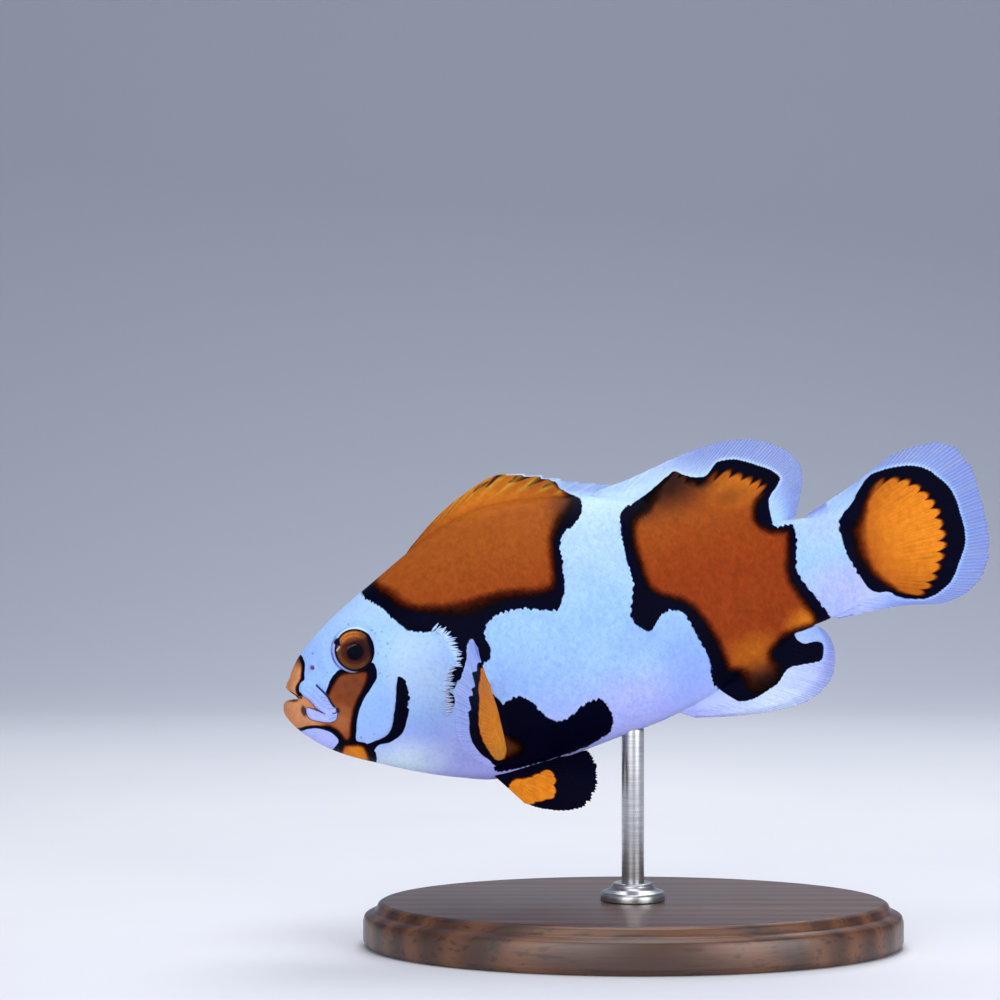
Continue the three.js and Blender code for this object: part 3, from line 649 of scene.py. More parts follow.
def body_mesh():
    """The closed body, with the slit of the mouth cut through it."""
    xs = np.arange(BODY[0, 0], BODY[-1, 0], BODY_STEP)
    angles = np.linspace(0, 2 * math.pi, BODY_ROUND, endpoint=False)
    points = body_point(xs[:, None], angles[None, :]).reshape(-1, 3)
    faces = grid_faces(len(xs), BODY_ROUND, wrap=True).tolist()
    faces.append(list(range(BODY_ROUND)))
    faces.append(list(range(len(points) - 1, len(points) - 1 - BODY_ROUND, -1)))
    inward = [face[::-1] for face in faces]
    body = mesh_object("body_work", points, inward, None, None, placing=False)
    n = len(MOUTH)
    ends = np.array([(x, y, z) for y in (-SLIT_REACH, SLIT_REACH) for x, z in MOUTH])
    sides = [[i, (i + 1) % n, n + (i + 1) % n, n + i] for i in range(n)]
    caps = [list(range(n))[::-1], list(range(n, 2 * n))]
    slit = mesh_object("slit_work", ends, sides + caps, None, None, placing=False)
    for piece in (body, slit):
        face_outward(piece.data)
    cut = body.modifiers.new("mouth", "BOOLEAN")
    cut.operation = "DIFFERENCE"
    cut.solver = "EXACT"
    cut.object = slit
    result = evaluated(body)
    bpy.data.objects.remove(slit)
    return result


def face_outward(mesh):
    """Turns all the mesh's faces to look out."""
    work = bmesh.new()
    work.from_mesh(mesh)
    bmesh.ops.recalc_face_normals(work, faces=work.faces)
    work.to_mesh(mesh)
    work.free()


def fin_surface(keys, u, v, side=1):
    """The fin's middle surface on a grid of fractions across (u) and along (v) its rays, and
    the direction across its thickness."""
    k = np.array(keys, float)
    if k.shape[1] == 4:
        k = np.column_stack((k[:, 0], 0 * k[:, 0], k[:, 1], k[:, 2], 0 * k[:, 0], k[:, 3]))
    k[:, [1, 4]] *= side
    k[:, 1] += bend(k[:, 0])
    k[:, 4] += bend(k[:, 3])
    base, tip = on_curve(k[:, :3], u), on_curve(k[:, 3:], u)
    points = base[:, None, :] + (tip - base)[:, None, :] * v[..., None]
    along_ray = np.broadcast_to((tip - base)[:, None, :], points.shape)
    across_rays = np.gradient(points, axis=0)
    normal = np.cross(along_ray, across_rays)
    normal /= np.linalg.norm(normal, axis=2, keepdims=True) + 1e-12
    return points, normal * np.sign(-side * normal[..., 1:2].mean() or 1)


def fin_root(keys, reach, thick, side=1, columns=48, rows=9):
    """A fleshy wedge along a fin's base, to be joined into the skin."""
    u = np.linspace(0, 1, columns)
    v = np.linspace(0, reach, rows)
    points, normal = fin_surface(keys, u, np.broadcast_to(v, (columns, rows)), side)
    half = np.linspace(thick, 0.12, rows)[None, :, None]
    return closed_shell(points + normal * half, points - normal * half)


def closed_shell(front, back):
    """Points and faces of the closed shape between two equal grids."""
    columns, rows = front.shape[:2]
    n = columns * rows
    points = np.vstack((front.reshape(-1, 3), back.reshape(-1, 3)))
    face = grid_faces(columns, rows)
    ring = np.concatenate((
        np.arange(rows), (np.arange(1, columns) * rows + rows - 1),
        (columns - 1) * rows + np.arange(rows - 2, -1, -1), np.arange(columns - 2, 0, -1) * rows,
    ))
    after = np.roll(ring, -1)
    rim = np.stack((ring, after, after + n, ring + n), axis=-1)
    return points, np.vstack((face[:, ::-1], face + n, rim))


def joined_mesh(parts):
    """One mesh from several lists of points and faces and from meshes."""
    work = bmesh.new()
    for part in parts:
        if isinstance(part, bpy.types.Mesh):
            work.from_mesh(part)
            continue
        mesh = bpy.data.meshes.new("part_work")
        mesh.from_pydata(part[0].tolist(), [], part[1].tolist())
        face_outward(mesh)
        work.from_mesh(mesh)
        bpy.data.meshes.remove(mesh)
    result = bpy.data.meshes.new("skin_work")
    work.to_mesh(result)
    work.free()
    return result


def refine_head(mesh):
    """Splits the faces of the head in four, and those of the mouth again."""
    work = bmesh.new()
    work.from_mesh(mesh)
    for limit in FINER_BEFORE:
        edges = [e for e in work.edges if all(v.co.x < limit for v in e.verts)]
        bmesh.ops.subdivide_edges(work, edges=edges, cuts=1, use_grid_fill=True, smooth=0.0)
        fine = [v for v in work.verts if v.co.x < limit - 0.5]
        for _ in range(3):
            bmesh.ops.smooth_vert(
                work, verts=fine, factor=0.5, use_axis_x=True, use_axis_y=True, use_axis_z=True)
    work.to_mesh(mesh)
    work.free()


def relief(points, normals):
    """How far each point of the skin stands out of the plain body, in millimetres."""
    head = points[:, 0] < FINER_BEFORE[0] + 1
    p = seen(points[head])
    x, z = p.T
    # The lips, the plate of the upper jaw and the creases about the mouth.
    upper, lower = LOOPS["orange"]["upper_lip"], LOOPS["lower_lip"]
    lips = np.minimum(outline_distance(p, upper), outline_distance(p, lower))
    out = 0.12 * smoothstep(0.1, -0.5, lips)
    plate = outline_distance(p, LOOPS["maxilla"])
    out += 0.24 * smoothstep(0.1, -0.35, plate) * smoothstep(1.3, 0.1, z)
    for places, half, depth in CREASES:
        out -= depth * np.exp(-(line_distance(p, places) / (1.6 * half)) ** 2)
    # The gill cover, raised towards its free edge, and the groove across the cheek.
    cover = np.vstack((curve(GILL_EDGE, False), COVER_FRONT))
    gill = outline_distance(p, cover)
    out += 0.34 * smoothstep(0.08, -0.2, gill) * smoothstep(7.0, 17.5, x) * (
        smoothstep(3.9, 2.6, z) * smoothstep(-7.0, -4.4, z))
    groove = line_distance(p, PREOPERCLE)
    out -= 0.1 * np.exp(-(groove / 0.18) ** 2)
    out += 0.05 * smoothstep(1.4, 0.2, groove) * (x < 12.3)
    # The eye's socket with a narrow and a wide ring about it.
    r = np.hypot(points[head, 0] - SOCKET[0], points[head, 2] - SOCKET[1])
    out += 0.08 * np.exp(-((r - EYE_SOCKET - 0.22) / 0.24) ** 2)
    out += 0.12 * np.exp(-((r - 3.3) / 0.6) ** 2)
    out -= 1.5 * smoothstep(EYE_SOCKET + 0.08, EYE_SOCKET - 0.14, r)
    # The nostril and the pores.
    nx, nz, nr = NOSTRIL
    n = np.hypot(x - nx, z - nz)
    out += 0.05 * np.exp(-((n - nr - 0.08) / 0.13) ** 2) - 0.2 * smoothstep(nr, nr * 0.3, n)
    for fx, fz, fr in FRECKLES:
        out -= 0.05 * smoothstep(1.3 * fr, 0.3 * fr, np.hypot(x - fx, z - fz))
    result = np.zeros(len(points))
    result[head] = out * smoothstep(0.1, 0.5, np.abs(normals[head, 1]))
    return result


def head_details(points):
    """How strongly each point belongs to a freckle, to the painted shade of a deep crease or blot,
    and to the nostril.
    """
    flat = seen(points)
    freckle = np.zeros(len(points))
    for x, z, radius in FRECKLES:
        d = np.hypot(flat[:, 0] - x, flat[:, 1] - z)
        freckle = np.maximum(freckle, smoothstep(radius * 1.5, radius * 0.4, d))
    dark = np.zeros(len(points))
    # Painted shade in the deeper creases.
    for places, half, depth in CREASES:
        line = smoothstep(half * 1.3, half * 0.5, line_distance(flat, places))
        dark = np.maximum(dark, line * smoothstep(0.08, 0.16, depth))
    # Painted shade in the hollows about the mouth.
    for blot in MOUTH_SHADE_BLOTS:
        dark = np.maximum(dark, 0.9 * smoothstep(1.2, 0.5, oval_distance(flat, blot)))
    x, z, radius = NOSTRIL
    nostril = smoothstep(radius * 1.3, radius * 0.4, np.hypot(flat[:, 0] - x, flat[:, 1] - z))
    return {"freckle": freckle, "dark": dark, "nostril": nostril}


def make_skin(material):
    """The one skin over head, body and fin roots. Gives a tree for finding places on it."""
    roots = [
        fin_root(SPINY_DORSAL, SPINY_ROOT, 0.7), fin_root(SOFT_DORSAL, SOFT_ROOT, 0.7),
        fin_root(ANAL, SOFT_ROOT, 0.7), fin_root(CAUDAL, TAIL_ROOT, 0.8),
    ]
    for side in (1, -1):
        roots.append(fin_root(PECTORAL, PAIRED_ROOT, 0.8, side))
        roots.append(fin_root(PELVIC, PAIRED_ROOT, 0.7, side))
    work = in_scene("skin_work", joined_mesh([body_mesh()] + roots))
    remesh = work.modifiers.new("one_skin", "REMESH")
    remesh.mode = "VOXEL"
    remesh.voxel_size = SKIN_VOXEL
    smooth = work.modifiers.new("soften", "SMOOTH")
    smooth.factor = 0.5
    smooth.iterations = 4
    mesh = evaluated(work)
    refine_head(mesh)
    points = vertex_array(mesh)
    normals = vertex_array(mesh, "normal")
    moved = points + normals * relief(points, normals)[:, None]
    mesh.vertices.foreach_set("co", moved.ravel())
    mesh.update()
    store(mesh, {**markings(points), **head_details(points)})
    tree = BVHTree.FromPolygons(moved.tolist(), [tuple(p.vertices) for p in mesh.polygons])
    mesh.vertices.foreach_set("co", placed(moved).ravel())
    mesh.polygons.foreach_set("use_smooth", np.ones(len(mesh.polygons), bool))
    mesh.materials.clear()
    mesh.materials.append(material)
    mesh.update()
    mesh.name = "skin"
    skin = in_scene("skin", mesh)
    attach(skin, "root")
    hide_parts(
        "head", "lower_jaw", "gill_cover_left", "gill_cover_right", "trunk", "tail_stalk")
    return tree


# ---- Making the fins ---------------------------------------------------------------------------

def ray_distance(across, along, branches):
    """Distance from the nearest ray, in gaps between rays. Soft rays fork twice on their way."""
    d = np.abs(across - np.round(across))
    if branches:
        d = np.abs(d - 0.25 * smoothstep(0.12, 0.45, along))
        d = np.abs(d - 0.125 * smoothstep(0.35, 0.7, along))
    return d


def fin_reach(u, rays, spiny, ragged):
    """How far the fin's edge comes at u: cut back behind each spine tip, or finely ragged."""
    f = u * rays
    frac = f - np.floor(f)
    if spiny:
        behind = np.where(frac < 0.25, smoothstep(0, 0.25, frac), 1 - (frac - 0.25) / 0.75)
        return 1 - (0.012 + 0.035 * smoothstep(0.5, 0.75, u)) * behind
    knots = RNG.uniform(0, 1, rays * 4 + 2)
    spot = f * 4
    return 1 - ragged * (knots[spot.astype(int)] * 0.6 + 0.4 * np.abs(np.sin(spot * math.pi)))


def fin_piece(name, keys, rays, material, paint, root, side=1, spiny=False, ragged=0.02, wave=0.3,
              cup=0.0, finger=0.3, finger_root=0.05, fine=16):
    """A thin closed fin with its rays standing out of the web, and as thick as the flesh about
    it over its root. paint() gives its markings. finger says how far orange runs out along the
    rays, from finger_root beyond the flesh. fine is the number of columns to a ray."""
    columns, rows = rays * fine + 1, FIN_ROWS
    u = np.linspace(0, 1, columns)
    share = np.linspace(0, 1, rows) ** 0.9
    v = share[None, :] * fin_reach(u, rays, spiny, ragged)[:, None]
    share = np.broadcast_to(share, v.shape)
    points, normal = fin_surface(keys, u, v, side)
    across = np.broadcast_to((u * rays)[:, None], v.shape)
    d = ray_distance(across, v, branches=not spiny)
    ridge = np.exp(-(d / (0.13 - 0.05 * v if spiny else 0.15 - 0.1 * v)) ** 2)
    flesh = 0.27 * (1 - smoothstep(root, root + 0.35, v))
    ray = (0.09 - 0.065 * v) * ridge * smoothstep(root, root + 0.25, v)
    half = 0.03 + 0.02 * (1 - v) + ray + flesh
    half *= np.where(share > 0.985, 0.5, 1.0)
    sway = wave * v ** 2 * np.sin(2 * math.pi * (u * 1.6 + 0.2))[:, None]
    sway = sway + cup * np.sin(math.pi * v) * v
    middle = points + normal * sway[..., None]
    half = normal * half[..., None]
    shell, faces = closed_shell(middle + half, middle - half)

    u, v = np.broadcast_to(u[:, None], v.shape).ravel(), v.ravel()
    share, across, ridge = share.ravel(), across.ravel(), ridge.ravel()
    values = paint(middle.reshape(-1, 3), u, share)
    between = np.abs(2 * (across - np.round(across)))
    outer = smoothstep(root + 0.05, root + 0.4, v)
    uneven = 0.75 + 0.25 * np.sin(1.9 * np.round(across))
    fingers = finger * uneven * smoothstep(root + finger_root, root + finger_root + 0.35, v)
    orange = values["orange_edge"] * (1 + outer)
    values["orange_edge"] = orange + fingers * (2.4 * between ** 2.5 - 0.6)
    values["black_edge"] = values["black_edge"] + 0.1 * outer * (0.5 - ridge)
    pale = smoothstep(0.0, 0.5, values["black_edge"])
    margin = smoothstep(0.4, 0.9, share) * values.pop("sheer", 1.0)
    values.update(
        clear=pale * margin * (1 - 0.5 * ridge), ray=ridge, across=across, along=v, bare=outer)
    doubled = {key: np.concatenate((data, data)) for key, data in values.items()}
    piece = mesh_object(name, shell, faces, doubled, material)
    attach(piece, "root")
    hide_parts(name)
    return piece


def median_paint(points, u, share):
    """The markings of the body, and how sheer each part of the margin is."""
    values = markings(points)
    x, z = seen(points).T
    tail = smoothstep(63.0, 71.0, x)
    soft = smoothstep(44.0, 52.0, x) * (x < 63) * (z > 0)
    anal = smoothstep(0.8, 0.97, share) * (x < 63) * (z < 0)
    values["sheer"] = np.maximum(tail, np.maximum(soft, anal))
    return values


def spiny_paint(points, u, share):
    """Gold streaks along the spines near the edge, dark streaks between the tips of the middle
    ones, and a thin pale edge behind them."""
    values = markings(points)
    flat = seen(points)
    x = flat[:, 0]
    place = u * SPINES % 1
    spine = np.exp(-((place - np.round(place)) / 0.2) ** 2)
    streak = np.min([loop_distance(flat, places, 4) for places in SPINY_STREAKS], axis=0)
    dark = smoothstep(0.12, -0.06, streak) * (1 - 0.4 * spine)
    values["dusk"] = np.maximum(values["dusk"] * smoothstep(14.6, 13.4, flat[:, 1]), dark)
    rim = smoothstep(28.8, 29.8, x) * smoothstep(0.975, 0.985, share)
    rim = np.maximum(rim, smoothstep(19.5, 18.0, x) * smoothstep(0.98, 0.99, share))
    values["black_edge"] = values["black_edge"] + 6 * rim
    values["gold"] = 0.9 * spine * smoothstep(0.5, 0.82, share) * smoothstep(16.0, 22.0, x)
    values["sheer"] = smoothstep(33.5, 36.5, x) * 0.3
    return values


def left_side(points):
    """The points, with those of the right side carried over to the left."""
    carried = points.copy()
    carried[:, 1] = np.minimum(points[:, 1], 2 * bend(points[:, 0]) - points[:, 1])
    return carried


def pelvic_paint(points, u, share):
    """Orange at the base, and black all over the rest."""
    flat = seen(left_side(points))
    orange = loop_distance(flat, PELVIC_ORANGE)
    return plain_markings(
        len(points),
        black_edge=np.full(len(points), -1.5),
        orange_edge=orange * np.where(orange < 0, 3.0, 1.0),
        yellow=np.ones(len(points)),
        height=flat[:, 1],
    )


def pectoral_paint(points, u, share):
    """Orange at the base, then a black band and a pale margin."""
    flat = seen(left_side(points))
    orange = loop_distance(flat, PECTORAL_ORANGE, 4)
    return plain_markings(
        len(points),
        black_edge=loop_distance(flat, PECTORAL_BLACK, 4),
        orange_edge=orange * np.where(orange < 0, 3.0, 1.0),
        yellow=0.8 + 0.2 * smoothstep(-4.0, -12.0, flat[:, 1]),
        gold=0.5 * smoothstep(-10.0, -12.5, flat[:, 1]),
        tan=np.full(len(points), 0.15),
        # lilac is painted shade, as on the lower body.
        lilac=np.full(len(points), 0.5),
        sheer=np.full(len(points), 0.1),
        height=flat[:, 1],
    )


def make_fins(material):
    """All the fins, each with the counts and the look of its own kind."""
    spiny = fin_piece(
        "dorsal_fin_spiny", SPINY_DORSAL, SPINES, material, spiny_paint, SPINY_ROOT,
        spiny=True, wave=0.15, finger=0.1, fine=20)
    soft = fin_piece(
        "dorsal_fin_soft", SOFT_DORSAL, RAYS["soft"], material, median_paint, SOFT_ROOT,
        wave=0.4, finger=1.2)
    anal = fin_piece(
        "anal_fin", ANAL, RAYS["anal"], material, median_paint, SOFT_ROOT,
        wave=-0.35, finger=0.1)
    tail = fin_piece(
        "caudal_fin", CAUDAL, RAYS["caudal"], material, median_paint, TAIL_ROOT,
        ragged=0.025, wave=0.3, finger=0.9, finger_root=0.22)
    for name, side in (("left", 1), ("right", -1)):
        pectoral = fin_piece(
            f"pectoral_fin_{name}", PECTORAL, RAYS["pectoral"], material, pectoral_paint,
            PAIRED_ROOT, side=side, ragged=0.03, wave=0.1, cup=0.3, finger=0.2)
        pelvic = fin_piece(
            f"pelvic_fin_{name}", PELVIC, RAYS["pelvic"], material, pelvic_paint, PAIRED_ROOT,
            side=side, ragged=0.05, wave=0.2, finger=0.5)


# ---- Scales and the gill cover's fringe --------------------------------------------------------

SCALE_PITCH = 0.6
SCALE_LIFT = 0.010  # height of a scale's free edge over the skin
SCALE_COLUMNS = 5
SCALE_STATIONS = (0.0, 0.6, 1.0)  # from a scale's root to its free edge
SCALES_PARTED = 33.0  # x between the front and rear meshes
BARE_EYE = (8.1, 2.85, 3.4)  # x, z and radius of the skin about the eye that has no scales
BARE_FACE = (12.8, 5.0)  # in front of this x, only the skin above this z has scales
# The grid of the flank: first, last and step of x, and of the arc from its middle.
FLANK_GRID = (2.0, 66.0, 0.5)
ARC_GRID = (-22.0, 22.0, 0.2)
RING_POINTS = 241  # points of the body's section from back to belly, for its arc

FRINGE_PITCH = 0.24
SPINE_RINGS, SPINE_CORNERS = 4, 4  # of one spine of the fringe

# The OFBake map: x from MAP_START on and the arc fill this share of it.
MAP_MARGIN, MAP_SHARE = 0.02, 0.96
MAP_START, MAP_LENGTH, MAP_ARC = 8, 60, 44
PATCH = 0.0025  # of the map for one scale pitch


def flank_angles():
    """For a grid of x and of arc length from the middle of the flank, the angle round the body."""
    xs = np.arange(*FLANK_GRID)
    arcs = np.arange(*ARC_GRID)
    angles = np.linspace(0, math.pi, RING_POINTS)
    result = np.empty((len(xs), len(arcs)))
    for row, x in enumerate(xs):
        arc = lengths_along(body_point(np.array(x), angles))
        middle = np.interp(math.pi / 2, angles, arc)
        result[row] = np.interp(arcs, arc - middle, angles, left=np.nan, right=np.nan)
    return xs, arcs, result


def flank_point(x, arc, side, grid):
    """The body's points at x and an arc from the middle of the flank, and their angles."""
    xs, arcs, angles = grid
    fx = np.clip((x - xs[0]) / FLANK_GRID[2], 0, len(xs) - 1.001)
    fa = np.clip((arc - arcs[0]) / ARC_GRID[2], 0, len(arcs) - 1.001)
    i, j = fx.astype(int), fa.astype(int)
    tx, ta = fx - i, fa - j
    angle = ((angles[i, j] * (1 - tx) + angles[i + 1, j] * tx) * (1 - ta)
             + (angles[i, j + 1] * (1 - tx) + angles[i + 1, j + 1] * tx) * ta)
    return body_point(x, side * angle), angle


def scale_shape():
    """One scale's grid, from root to free edge: how far back, sideways and up each point lies.
    Back and sideways are in scale pitches. The last row is the free edge's foot, in the skin."""
    a = np.array(SCALE_STATIONS)[:, None]
    b = np.linspace(-1, 1, SCALE_COLUMNS)[None, :]
    reach = 0.70 * np.sqrt(1 - 0.72 * b ** 2)
    back = -0.44 + (reach + 0.44) * a
    sideways = 0.63 * b * (0.8 + 0.2 * np.sin(math.pi * a))
    rise = -0.5 + 1.5 * a - 0.25 * b ** 2
    back = np.vstack((back, back[-1:]))
    sideways = np.vstack((sideways, sideways[-1:]))
    rise = np.vstack((rise, 0 * rise[-1:] - 0.5))
    return back.ravel(), sideways.ravel(), rise.ravel()


def scale_normals(corners):
    """Shading normals that keep each scale's curve but take no part of its folded rim, so that
    the rim shows as a faint line rather than a dark one."""
    tops = corners[:, :-1]
    back = np.gradient(tops, axis=1)
    normal = np.cross(back, np.gradient(tops, axis=2))
    normal /= np.linalg.norm(normal, axis=-1, keepdims=True) + 1e-15
    away = back[:, -1:]
    rim = normal[:, -1:] + 0.25 * away / (np.linalg.norm(away, axis=-1, keepdims=True) + 1e-15)
    return np.concatenate((normal, rim), axis=1)


def scale_mesh(name, raised, centres, clearness, side, material):
    """One mesh of scales. Each takes part of its outline's darkness from its middle, so that the
    edges of the black are scalloped. clearness says how plainly each scale's tone and its painted
    shade towards its root show."""
    count, per = raised.shape[:2]
    middle = raised[:, per // 2 + 2][:, None, :]
    grain = np.repeat(RNG.uniform(-0.03, 0.03, count), per)
    values = markings((0.45 * raised + 0.55 * middle).reshape(-1, 3), grain)
    values["orange_edge"] = markings((0.8 * raised + 0.2 * middle).reshape(-1, 3))["orange_edge"]
    plain = np.repeat(1 - clearness, per)
    tone = np.repeat(RNG.uniform(0, 1, count), per)
    # Painted shade towards each scale's root, where the scale in front lies over it.
    edge = np.tile(np.repeat(np.append(SCALE_STATIONS, 1.0), SCALE_COLUMNS), count)
    values["tone"] = tone + (1 - tone) * plain
    values["scale_edge"] = edge + (1 - edge) * plain
    rows = len(SCALE_STATIONS) + 1
    quads = grid_faces(rows, SCALE_COLUMNS)
    if side < 0:
        quads = quads[:, ::-1]
    faces = (quads[None] + (np.arange(count) * per)[:, None, None]).reshape(-1, 4)
    piece = mesh_object(name, raised.reshape(-1, 3), faces, values, material)
    normals = scale_normals(placed(raised).reshape(count, rows, SCALE_COLUMNS, 3)).reshape(-1, 3)
    outward = np.sign((normals[:, 1] * -side).mean())
    piece.data.normals_split_custom_set_from_vertices((outward * normals).tolist())
    back, sideways, _ = scale_shape()
    bake_patches(piece.data, centres, back, sideways)
    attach(piece, "root")


def make_scales(name, side, tree, material):
    """Overlapping scales in staggered rows over one side, as one mesh for each half of it. They
    lie flatter on the face and towards the fins."""
    grid = flank_angles()
    columns = np.arange(9.5, 64.5, SCALE_PITCH / 2)
    rows = np.arange(-37, 38) * SCALE_PITCH
    centres = np.array([
        (x, s + (i % 2) * SCALE_PITCH / 2) for i, x in enumerate(columns) for s in rows])
    centres += RNG.normal(0, 0.02, centres.shape)
    place, angle = flank_point(centres[:, 0], centres[:, 1], side, grid)
    flat = np.where(np.isnan(place), 999.0, place)
    spots = seen(flat)
    keep = ~np.isnan(angle)
    keep &= line_distance(spots, GILL_EDGE) > 0.6
    keep &= line_distance(spots, PREOPERCLE) > 0.45
    keep &= np.hypot(spots[:, 0] - BARE_EYE[0], spots[:, 1] - BARE_EYE[1]) > BARE_EYE[2]
    keep &= (flat[:, 0] > BARE_FACE[0]) | (flat[:, 2] > BARE_FACE[1])
    centres, place, angle = centres[keep], place[keep], angle[keep]
    count = len(centres)
    flatter = smoothstep(9.0, 22.0, centres[:, 0]) * smoothstep(0.25, 0.6, angle)
    flatter *= smoothstep(math.pi - 0.25, math.pi - 0.6, angle)
    lift = SCALE_LIFT * flatter * RNG.uniform(0.75, 1.2, count) + 0.003

    back, sideways, rise = scale_shape()
    per = back.size
    x = centres[:, 0, None] + SCALE_PITCH * back
    arc = centres[:, 1, None] + SCALE_PITCH * sideways
    points, _ = flank_point(x.ravel(), arc.ravel(), side, grid)
    lost = np.isnan(points).any(axis=1)
    points[lost] = np.repeat(place, per, axis=0)[lost]
    raised = np.empty_like(points)
    gap = np.empty(len(points))
    heights = (lift[:, None] * rise).ravel()
    for k, p in enumerate(points.tolist()):
        where, normal, _, distance = tree.find_nearest(p)
        raised[k] = where + normal * heights[k] * max(0.0, min(1.0, 2.5 - 5.0 * distance))
        gap[k] = distance
    good = (gap.reshape(count, per).max(axis=1) < 0.55) & ~lost.reshape(count, per).any(axis=1)
    raised, centres, flatter = raised.reshape(count, per, 3)[good], centres[good], flatter[good]
    front = centres[:, 0] < SCALES_PARTED
    for part, chosen in (("front", front), ("rear", ~front)):
        scale_mesh(
            f"{name}_{part}", raised[chosen], centres[chosen], flatter[chosen], side, material)


def bake_patches(mesh, centres, back, sideways):
    """The OFBake map: a patch for each scale or spine where its root lies on the flank, laid flat.
    centres are x and the arc from the middle of the flank."""
    u0 = MAP_MARGIN + MAP_SHARE * (centres[:, 0] - MAP_START) / MAP_LENGTH
    v0 = 0.5 - MAP_SHARE * centres[:, 1] / MAP_ARC
    u = u0[:, None] + PATCH * back[None, :]
    v = v0[:, None] - PATCH * sideways[None, :]
    at_vertex = np.column_stack((u.ravel(), v.ravel()))
    index = np.empty(len(mesh.loops), np.int32)
    mesh.loops.foreach_get("vertex_index", index)
    layer = mesh.uv_layers.new(name="OFBake")
    layer.data.foreach_set("uv", at_vertex[index].ravel())


def seen_to_skin(flat, side, tree):
    """The point of the skin that the camera sees at flat, or sees in the mirror on the right."""
    eye = np.array([view_centre()[0], side * CAMERA[1], view_centre()[1]])
    target = np.array([flat[0], 0.0, flat[1]])
    where, normal, _, _ = tree.ray_cast(Vector(eye), Vector(target - eye).normalized())
    return where, normal


def flank_arc(point):
    """The arc from the middle of the flank to the place on the body's section beside a point."""
    angles = np.linspace(0, math.pi, RING_POINTS)
    side = math.copysign(1, bend(point[0]) - point[1])
    ring = body_point(np.array(point[0]), side * angles)
    arc = lengths_along(ring)
    nearest = np.argmin(np.linalg.norm(ring - point, axis=1))
    return arc[nearest] - np.interp(math.pi / 2, angles, arc)


def fringe_spine(root, along, side, tree):
    """The points of one spine, ring by ring, and how lilac it is painted as shade, more so low
    down. Its points are fewer where it misses the skin."""
    lean = 0.75 * smoothstep(1.0, 2.6, root[1]) - 0.12
    out = np.array([1.0, lean + RNG.uniform(-0.2, 0.2)])
    out /= np.linalg.norm(out)
    lower = smoothstep(-3.5, -6.0, root[1])
    top = smoothstep(1.4, 2.8, root[1])
    reach = RNG.uniform(0.25, 0.9) * (1.0 - 0.2 * lower - 0.3 * top)
    width = RNG.uniform(0.12, 0.24)
    droop = RNG.uniform(0.0, 0.12)
    # From its root, under the gill cover's edge, to its tip: how far out, how wide, how high.
    stations = [
        (-0.7, 0.7, -0.03), (-0.2, 1.0, 0.03), (0.45 * reach, 0.6, 0.1), (reach, 0.05, 0.08),
    ]
    points = []
    for distance, share, lift in stations:
        spot = root + out * distance - np.array([0.0, droop * max(distance, 0.0)])
        hit, normal = seen_to_skin(spot, side, tree)
        if hit is None:
            break
        sideways = np.array([along[0], 0.0, along[1]]) * width * share
        up = np.array(normal)
        thick = 0.03 * share + 0.01
        middle = np.array(hit) + up * (lift - 0.05 * lower)
        points += [middle - sideways, middle + up * thick, middle + sideways, middle - up * thick]
    return points, 0.2 + 0.6 * lower


def make_fringe(name, side, tree, material):
    """The spines along the gill cover's free edge, down to where it melts into the breast."""
    edge = curve(GILL_EDGE, False, 30)
    length = lengths_along(edge)
    sides = grid_faces(SPINE_RINGS, SPINE_CORNERS, wrap=True)
    count = SPINE_RINGS * SPINE_CORNERS
    foot = list(range(SPINE_CORNERS))[::-1]
    tip = list(range(count - SPINE_CORNERS, count))
    shape = [*sides.tolist(), foot, tip]
    points, faces, lilac, roots = [], [], [], []
    for s in np.arange(0.9, length[-1] - 7.0, FRINGE_PITCH):
        s += RNG.uniform(-0.1, 0.1)
        root, ahead = (
            np.array([np.interp(at, length, edge[:, column]) for column in (0, 1)])
            for at in (s, s + 0.3))
        along = (ahead - root) / np.linalg.norm(ahead - root)
        spine, tone = fringe_spine(root, along, side, tree)
        if len(spine) < count:
            continue
        faces += [[len(points) + corner for corner in face] for face in shape]
        points += spine
        lilac += [tone] * count
        roots.append(spine[SPINE_CORNERS])
    points = np.array(points)
    ones = np.ones(len(points))
    # pale is painted light on the spines; their lilac is painted shade.
    values = plain_markings(
        len(points), black_edge=2 * ones, orange_edge=2 * ones, lilac=np.array(lilac),
        pale=0.5 * ones, height=points[:, 2], tone=ones, scale_edge=ones)
    piece = mesh_object(name, points, faces, values, material)
    face_outward(piece.data)
    ring, corner = np.divmod(np.arange(count), SPINE_CORNERS)
    centres = np.array([(root[0], flank_arc(root)) for root in roots])
    bake_patches(piece.data, centres, 0.4 * ring - 0.6, 0.4 * corner - 0.6)
    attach(piece, "root")


# ---- Eyes --------------------------------------------------------------------------------------

# The pupil, iris and rim: radius and height.
IRIS_PROFILE = [
    (0.0, 0.34), (0.6, 0.33), (1.2, 0.3), (1.7, 0.24), (2.05, 0.15), (2.2, 0.05), (2.3, -0.04),
    (2.42, -0.16), (2.55, -0.5), (2.4, -1.4),
]
CORNEA_RADIUS = 2.2
CORNEA_RISE = 0.6


